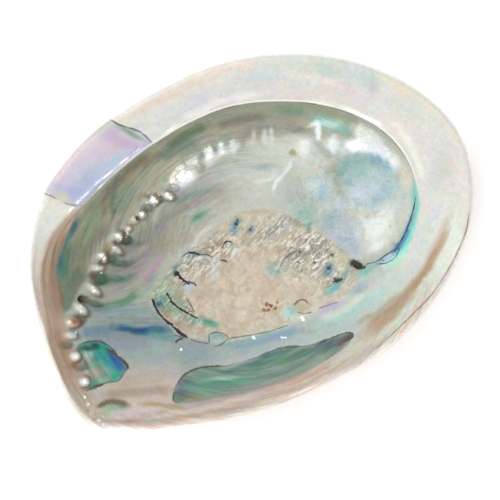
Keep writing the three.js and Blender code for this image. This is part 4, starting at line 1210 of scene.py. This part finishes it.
class Nodes:
    """Short names for building a node tree. Sockets and plain values can both be inputs."""

    def __init__(self, name):
        self.material = bpy.data.materials.new(name)
        self.material.use_nodes = True
        self.tree = self.material.node_tree
        self.tree.nodes.clear()

    def add(self, kind, inputs=(), **settings):
        node = self.tree.nodes.new(kind)
        for key, value in settings.items():
            setattr(node, key, value)
        for key, value in dict(inputs).items():
            self.feed(node.inputs[key], value)
        return node

    def feed(self, socket, value):
        if isinstance(value, bpy.types.NodeSocket):
            self.tree.links.new(value, socket)
        elif isinstance(value, str):
            socket.default_value = (*to_linear(rgb(value)), 1.0)
        else:
            socket.default_value = value

    def read(self, name, output="Fac"):
        return self.add("ShaderNodeAttribute", attribute_name=name).outputs[output]

    def math(self, operation, a, b=0.0):
        return self.add("ShaderNodeMath", {0: a, 1: b}, operation=operation).outputs[0]

    def times(self, first, *others):
        for other in others:
            first = self.math("MULTIPLY", first, other)
        return first

    def plus(self, first, *others):
        for other in others:
            first = self.math("ADD", first, other)
        return first

    def vector(self, operation, a, b):
        return self.add("ShaderNodeVectorMath", {0: a, 1: b}, operation=operation).outputs[0]

    def scaled(self, vector, x, y, z):
        return self.vector("MULTIPLY", vector, (x, y, z))

    def span(self, value, low, high, start=0.0, end=1.0):
        """A smooth step of value from start at low to end at high."""
        node = self.add(
            "ShaderNodeMapRange",
            {"Value": value, "From Min": low, "From Max": high, "To Min": start, "To Max": end},
            interpolation_type="SMOOTHSTEP",
        )
        return node.outputs["Result"]

    def mix(self, share, a, b, blend="MIX"):
        node = self.add("ShaderNodeMix", data_type="RGBA", blend_type=blend)
        self.feed(node.inputs[0], share)
        self.feed(node.inputs[6], a)
        self.feed(node.inputs[7], b)
        return node.outputs[2]

    def tinted(self, share, colour, by):
        return self.mix(share, colour, by, "MULTIPLY")

    def noise(self, place, scale, detail=2.0, distortion=0.0, roughness=0.5):
        settings = {"Vector": place, "Scale": scale, "Detail": detail, "Distortion": distortion,
                    "Roughness": roughness}
        return self.add("ShaderNodeTexNoise", settings).outputs["Fac"]

    def drawn_out(self, flow, along, across, *settings):
        """Noise drawn out along the shell's growth."""
        return self.noise(self.scaled(flow, along, along, across), 1.0, *settings)

    def grey(self, value):
        return self.add("ShaderNodeCombineXYZ", {0: value, 1: value, 2: value}).outputs[0]

    def ramp(self, value, stops):
        node = self.add("ShaderNodeValToRGB", {"Fac": value})
        elements = node.color_ramp.elements
        while len(elements) < len(stops):
            elements.new(0.5)
        for element, (position, code) in zip(elements, stops):
            element.position = position
            element.color = (*to_linear(rgb(code)), 1.0)
        return node.outputs["Color"]

    def finish(self, shader):
        self.add("ShaderNodeOutputMaterial", {"Surface": shader})
        return self.material


PEARL = [
    (0.30, "f4d3dc"), (0.38, "f6e9dd"), (0.45, "dbefe0"), (0.51, "f4f1ea"), (0.57, "d6e6f4"),
    (0.63, "f3e2ee"), (0.70, "d5efec"),
]
CURDS = [
    (0.32, "cfdde4"), (0.41, "ffffff"), (0.47, "d9e4e0"), (0.52, "fbf8f2"), (0.58, "c9d8d8"),
    (0.64, "fdfdfb"), (0.71, "e4d8d2"),
]
STREAK_TONES = [
    (0.30, "a3bda6"), (0.40, "eadfcd"), (0.48, "ffffff"), (0.54, "f0e2dc"), (0.62, "b3cbcb"),
    (0.70, "d9c3bd"),
]
BRICK_BANDS = [
    (0.30, "5c271d"), (0.40, "8b402f"), (0.47, "b4664d"), (0.52, "dcb596"), (0.57, "a85a43"),
    (0.66, "7a3527"), (0.76, "c78f74"),
]
BACK_NACRE = [
    (0.34, "bda7bd"), (0.42, "8fb5a2"), (0.49, "d6cdb4"), (0.56, "7fa8b4"), (0.63, "cfae9f"),
    (0.70, "a5c6b4"),
]
PEARL_GAIN = (1.10, 1.10, 1.14, 1.0)  # makes up for the light that the pearl tints take away
SCAR_GAIN = (1.06, 1.06, 1.06, 1.0)
SPECK_GAIN = (1.25, 1.25, 1.25, 1.0)


def in_millimetres(nodes):
    place = nodes.add("ShaderNodeTexCoord").outputs["Object"]
    return nodes.scaled(place, 1000.0, 1000.0, 1000.0)


def growth_streaks(nodes, place, flow, along, across, detail):
    """Noise drawn out along the shell's growth, or fanning out from its left end."""
    around = nodes.drawn_out(flow, along, across, detail, 0.5, 0.6)
    away = nodes.scaled(nodes.vector("SUBTRACT", place, FAN_START), 1.0, 1.0, 0.0)
    spoke = nodes.scaled(nodes.vector("NORMALIZE", away, away), *[FAN_REACH * across] * 3)
    fan_place = nodes.vector("ADD", spoke, nodes.scaled(away, *[along * 0.3] * 3))
    fanned = nodes.noise(fan_place, 1.0, detail, 0.9, 0.6)
    share = nodes.read("fan")
    kept = nodes.times(around, nodes.math("SUBTRACT", 1.0, share))
    return nodes.plus(kept, nodes.times(fanned, share))


def pearl_tints(nodes, colour, place, flow):
    """Faint pink, green and blue clouds and hair-fine growth streaks over a colour."""
    clouds = nodes.ramp(nodes.noise(place, 0.085, 3.0, 1.4), PEARL)
    colour = nodes.tinted(0.30, colour, clouds)
    streaky = nodes.read("streaky")
    curdled = nodes.ramp(nodes.noise(place, 0.13, 3.0, 1.1, 0.55), CURDS)
    calm = nodes.math("SUBTRACT", 1.0, streaky)
    colour = nodes.tinted(nodes.times(calm, nodes.span(nodes.read("curds"), 0.0, 1.0, 0.22, 0.80)),
                          colour, curdled)
    wide = nodes.ramp(growth_streaks(nodes, place, flow, 0.22, 0.30, 3.0), PEARL)
    colour = nodes.tinted(nodes.span(streaky, 0.0, 1.0, 0.22, 0.55), colour, wide)
    tones = nodes.ramp(growth_streaks(nodes, place, flow, 0.20, 0.55, 4.0), STREAK_TONES)
    colour = nodes.tinted(nodes.times(streaky, 0.60), colour, tones)
    fine = growth_streaks(nodes, place, flow, 0.26, 1.7, 3.0)
    light = nodes.math("SUBTRACT", nodes.span(fine, 0.34, 0.66, 0.86, 1.12), 1.0)
    light = nodes.plus(nodes.times(light, streaky), 1.0)
    grain = nodes.span(nodes.noise(place, 0.42, 4.0, 1.2, 0.62), 0.34, 0.66, 0.95, 1.04)
    colour = nodes.tinted(1.0, colour, nodes.grey(nodes.times(light, grain)))
    return nodes.tinted(1.0, colour, PEARL_GAIN)


def scar_squiggles(nodes, place):
    """Noise drawn out into short crooked ridges that all lean one way."""
    turned = nodes.add("ShaderNodeVectorRotate", {
        "Vector": place, "Angle": math.radians(SQUIGGLE_TURN)}, rotation_type="Z_AXIS").outputs[0]
    return nodes.noise(nodes.scaled(turned, 0.24, 0.72, 0.4), 1.0, 3.0, 1.5, 0.55)


def with_scar(nodes, colour, place, squiggle):
    """The muscle scar's mottling: small darker and paler scales, and squiggles where it is busy."""
    inside = nodes.span(nodes.read("scar"), -0.4, 0.9)
    busy = nodes.read("busy")
    scales = nodes.span(nodes.noise(place, 0.26, 5.0, 0.8, 0.66), 0.34, 0.66)
    tinted = nodes.tinted(0.75, colour, nodes.mix(scales, "e3d6c8", "ffffff"))
    crest = nodes.span(squiggle, 0.54, 0.60)
    tinted = nodes.mix(nodes.times(crest, busy, 0.75), tinted, "f8f4ea")
    groove = nodes.span(squiggle, 0.455, 0.40)
    cool = nodes.mix(nodes.noise(place, 0.2, 1.0), "4b5a56", "7b7a68")
    tinted = nodes.mix(nodes.times(groove, busy, 0.65), tinted, cool)
    return nodes.mix(inside, colour, nodes.tinted(1.0, tinted, SCAR_GAIN))


def with_layered_edge(nodes, colour, flow):
    """Thin brown layers that show along the open side's rim."""
    near_rim = nodes.span(nodes.read("rim_gap"), 9.0, 1.5)
    layers = nodes.span(nodes.drawn_out(flow, 0.14, 0.9, 2.0, 0.3), 0.50, 0.62)
    return nodes.mix(nodes.times(near_rim, nodes.read("open_side"), 0.42, layers), colour, "cf9f8a")


def with_windows(nodes, colour, place, flow, ragged):
    """The deeper layer in the three windows, and the windows' outlines."""
    window = nodes.plus(nodes.read("window"), nodes.times(ragged, 0.5))
    crisp = nodes.read("window_edge")
    softness = nodes.span(crisp, 0.0, 1.0, 1.9, 0.14)
    shown = nodes.span(window, nodes.times(softness, -1.0), softness)
    plain = nodes.read("window_tint", "Color")
    deep = nodes.mix(0.6, plain, pearl_tints(nodes, plain, place, flow))
    banded = nodes.span(growth_streaks(nodes, place, flow, 0.2, 0.6, 3.0), 0.34, 0.66, 0.76, 1.18)
    deep = nodes.mix(nodes.read("open_side"), deep, nodes.tinted(1.0, deep, nodes.grey(banded)))
    colour = nodes.mix(shown, colour, deep)
    varied = nodes.span(nodes.noise(place, 0.25, 2.0), 0.35, 0.65, 0.25, 0.75)
    outline = nodes.span(nodes.math("ABSOLUTE", window), varied, 0.05)
    brown_or_green = nodes.mix(nodes.noise(place, 0.16, 1.0), "4a2c22", "3c4a46")
    return nodes.mix(nodes.times(outline, crisp, 0.9), colour, brown_or_green)


def line_ink(nodes, place, ragged):
    """1 on a drawn line, which grows thinner and thicker along its way, and 0 beside it."""
    side = nodes.plus(nodes.read("line_side"), nodes.times(ragged, 0.35))
    varied = nodes.span(nodes.noise(place, 0.3, 2.0), 0.35, 0.65, 0.3, 1.7)
    thick = nodes.times(nodes.read("line_half"), varied)
    inked = nodes.span(nodes.math("ABSOLUTE", side), nodes.plus(thick, LINE_EDGE), thick)
    return nodes.times(inked, nodes.read("line_ink"))


def with_specks(nodes, colour, ragged):
    """Specks with ragged edges; the white points on the knobs among them are painted highlights, which
    SPECK_GAIN lifts above white.
    """
    speck = nodes.plus(nodes.read("speck"), nodes.times(ragged, 1.8))
    bright = nodes.tinted(1.0, nodes.read("speck_colour", "Color"), SPECK_GAIN)
    return nodes.mix(nodes.times(nodes.span(speck, 0.0, 0.5), 0.92), colour, bright)


def with_lip_edge(nodes, colour, ragged):
    """A painted highlight along the shelf's lip edge, and painted shade on the nose's underside."""
    nose = nodes.plus(nodes.read("past_nose"), nodes.times(ragged, 0.4))
    # painted highlight: a pale band just past the lip's nose
    shine = nodes.times(nodes.span(nose, 0.5, 0.9), nodes.span(nose, 1.9, 1.1))
    colour = nodes.mix(nodes.times(shine, nodes.read("lip_highlight"), 0.7), colour, "fbf9f1")
    # painted shade: a dark brown band on the nose's underside
    dark = nodes.times(nodes.span(nose, -3.0, -1.0), nodes.span(nose, 0.7, 0.2))
    return nodes.mix(nodes.times(dark, nodes.read("lip_shade"), 0.8), colour, "6e5c48")


def with_back(nodes, colour, place, flow):
    """The polished outside: brick red and cream growth bands with nacre showing through."""
    bands = nodes.drawn_out(flow, 0.13, 0.40, 6.0, 0.6, 0.62)
    nacre = nodes.ramp(nodes.noise(place, 0.10, 3.0, 0.7), BACK_NACRE)
    worn = nodes.span(nodes.noise(place, 0.05, 4.0, 0.6, 0.55), 0.51, 0.55)
    outside = nodes.mix(worn, nodes.ramp(bands, BRICK_BANDS), nacre)
    lines = nodes.span(nodes.drawn_out(flow, 0.10, 1.5, 4.0, 0.3, 0.6), 0.36, 0.60, 0.66, 1.04)
    outside = nodes.tinted(1.0, outside, nodes.grey(lines))
    border = nodes.plus(nodes.read("back"), nodes.times(nodes.noise(place, 0.22, 4.0), 0.9))
    return nodes.mix(nodes.span(border, 0.80, 0.98), colour, outside)


def roughness_of(nodes, place):
    """Polished everywhere, duller in the scar and on the back."""
    rough = nodes.span(nodes.noise(place, 0.3, 3.0), 0.3, 0.7, 0.20, 0.34)
    in_scar = nodes.span(nodes.read("scar"), -0.3, 1.2)
    return nodes.plus(rough, nodes.times(in_scar, 0.16), nodes.times(nodes.read("back"), 0.08))


def fine_bump(nodes, place, flow, squiggle, inked):
    """The scar's wrinkles and ridges, hair-fine growth lines, and the drawn lines cut in."""
    busy = nodes.read("busy")
    in_scar = nodes.span(nodes.read("scar"), -0.5, 1.0, 0.05, 0.55)
    wrinkled = nodes.plus(in_scar, nodes.times(busy, 0.6))
    wrinkles = nodes.times(nodes.noise(place, 0.60, 4.0, 1.2, 0.58), wrinkled)
    ridges = nodes.times(nodes.span(squiggle, 0.38, 0.62), busy, 0.6)
    streaky = nodes.span(nodes.read("streaky"), 0.0, 1.0, 0.02, 0.16)
    striae = nodes.times(nodes.drawn_out(flow, 0.25, 1.6, 3.0, 0.2), streaky)
    height = nodes.plus(wrinkles, ridges, striae, nodes.times(inked, -0.6))
    bump = nodes.add("ShaderNodeBump", {"Height": height, "Strength": 0.75, "Distance": BUMP_DEPTH})
    return bump.outputs["Normal"]


def nacre_material():
    nodes = Nodes("nacre")
    place = in_millimetres(nodes)
    flow = nodes.read("flow", "Vector")
    ragged = nodes.math("SUBTRACT", nodes.noise(place, 0.9, 2.0), 0.5)
    squiggle = scar_squiggles(nodes, place)
    inked = line_ink(nodes, place, ragged)
    colour = pearl_tints(nodes, nodes.read("tint", "Color"), place, flow)
    colour = with_scar(nodes, colour, place, squiggle)
    colour = with_layered_edge(nodes, colour, flow)
    colour = with_windows(nodes, colour, place, flow, ragged)
    colour = nodes.mix(inked, colour, nodes.read("line_colour", "Color"))
    colour = with_specks(nodes, colour, ragged)
    colour = with_lip_edge(nodes, colour, ragged)
    colour = with_back(nodes, colour, place, flow)
    shader = nodes.add("ShaderNodeBsdfPrincipled", {
        "Base Color": colour, "Roughness": roughness_of(nodes, place),
        "Normal": fine_bump(nodes, place, flow, squiggle, inked), "Metallic": 0.12,
        "Specular IOR Level": 0.55, "Coat Weight": 0.35, "Coat Roughness": 0.08,
    })
    return nodes.finish(shader.outputs["BSDF"])


def floor_material():
    nodes = Nodes("pale_floor")
    place = nodes.add("ShaderNodeTexCoord").outputs["Object"]
    colour = nodes.ramp(nodes.noise(place, 3.0, 2.0), [(0.3, "f8f7f7"), (0.7, "fcfcfc")])
    shader = nodes.add("ShaderNodeBsdfPrincipled", {
        "Base Color": colour, "Roughness": 0.7, "Specular IOR Level": 0.2,
        "Emission Color": "ffffff", "Emission Strength": 0.25,
    })
    return nodes.finish(shader.outputs["BSDF"])


# ---- floor, light and camera ----

def stage_floor():
    mesh = bpy.data.meshes.new("floor")
    corners = [(x * FLOOR_REACH, y * FLOOR_REACH, 0) for x, y in ((-1, -1), (1, -1), (1, 1), (-1, 1))]
    mesh.from_pydata(corners, [], [(0, 1, 2, 3)])
    mesh.materials.append(floor_material())
    floor = bpy.data.objects.new("floor", mesh)
    floor.location.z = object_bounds()[0][2] - FLOOR_GAP
    bpy.context.scene.collection.objects.link(floor)
    floor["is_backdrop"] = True


def soft_box(name, azimuth, elevation, distance, size, power, mirrored):
    """A round soft light, aimed at the shell. One that isn't mirrored only fills shadows."""
    light = bpy.data.lights.new(name, "AREA")
    light.shape = "DISK"
    light.size = size
    light.energy = power
    a, e = math.radians(azimuth), math.radians(elevation)
    away = Vector((math.cos(a) * math.cos(e), math.sin(a) * math.cos(e), math.sin(e)))
    box = bpy.data.objects.new(name, light)
    box.location = away * distance
    box.rotation_euler = (-away).to_track_quat("-Z", "Y").to_euler()
    box.visible_glossy = mirrored
    bpy.context.scene.collection.objects.link(box)


def light_the_scene():
    world = bpy.data.worlds.new("studio")
    world.use_nodes = True
    background = world.node_tree.nodes["Background"]
    background.inputs["Color"].default_value = (1, 1, 1, 1)
    background.inputs["Strength"].default_value = WORLD_LIGHT
    bpy.context.scene.world = world
    for settings in LIGHTS:
        soft_box(*settings)


def place_camera():
    """Looks straight down on the shell, from above the middle of its rim."""
    low, high = (np.array(corner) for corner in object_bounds())
    middle = (low + high) / 2
    size = high - low
    data = bpy.data.cameras.new("camera")
    data.sensor_width = SENSOR_WIDTH
    data.lens = SENSOR_WIDTH * CAMERA_DISTANCE / VIEW_WIDTH
    camera = bpy.data.objects.new("camera", data)
    camera.location = (
        middle[0] + VIEW_SHIFT[0] * size[0],
        middle[1] + VIEW_SHIFT[1] * size[1],
        RIM_HEIGHT / 1000 + CAMERA_DISTANCE,
    )
    camera.rotation_euler = (0.0, 0.0, math.radians(CAMERA_TURN))
    bpy.context.scene.collection.objects.link(camera)
    bpy.context.scene.camera = camera


bpy.context.scene.view_settings.view_transform = "Standard"
shell = build_shell()
shell.data.materials.append(nacre_material())
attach(shell, "root")
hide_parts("shell")
stage_floor()
light_the_scene()
place_camera()
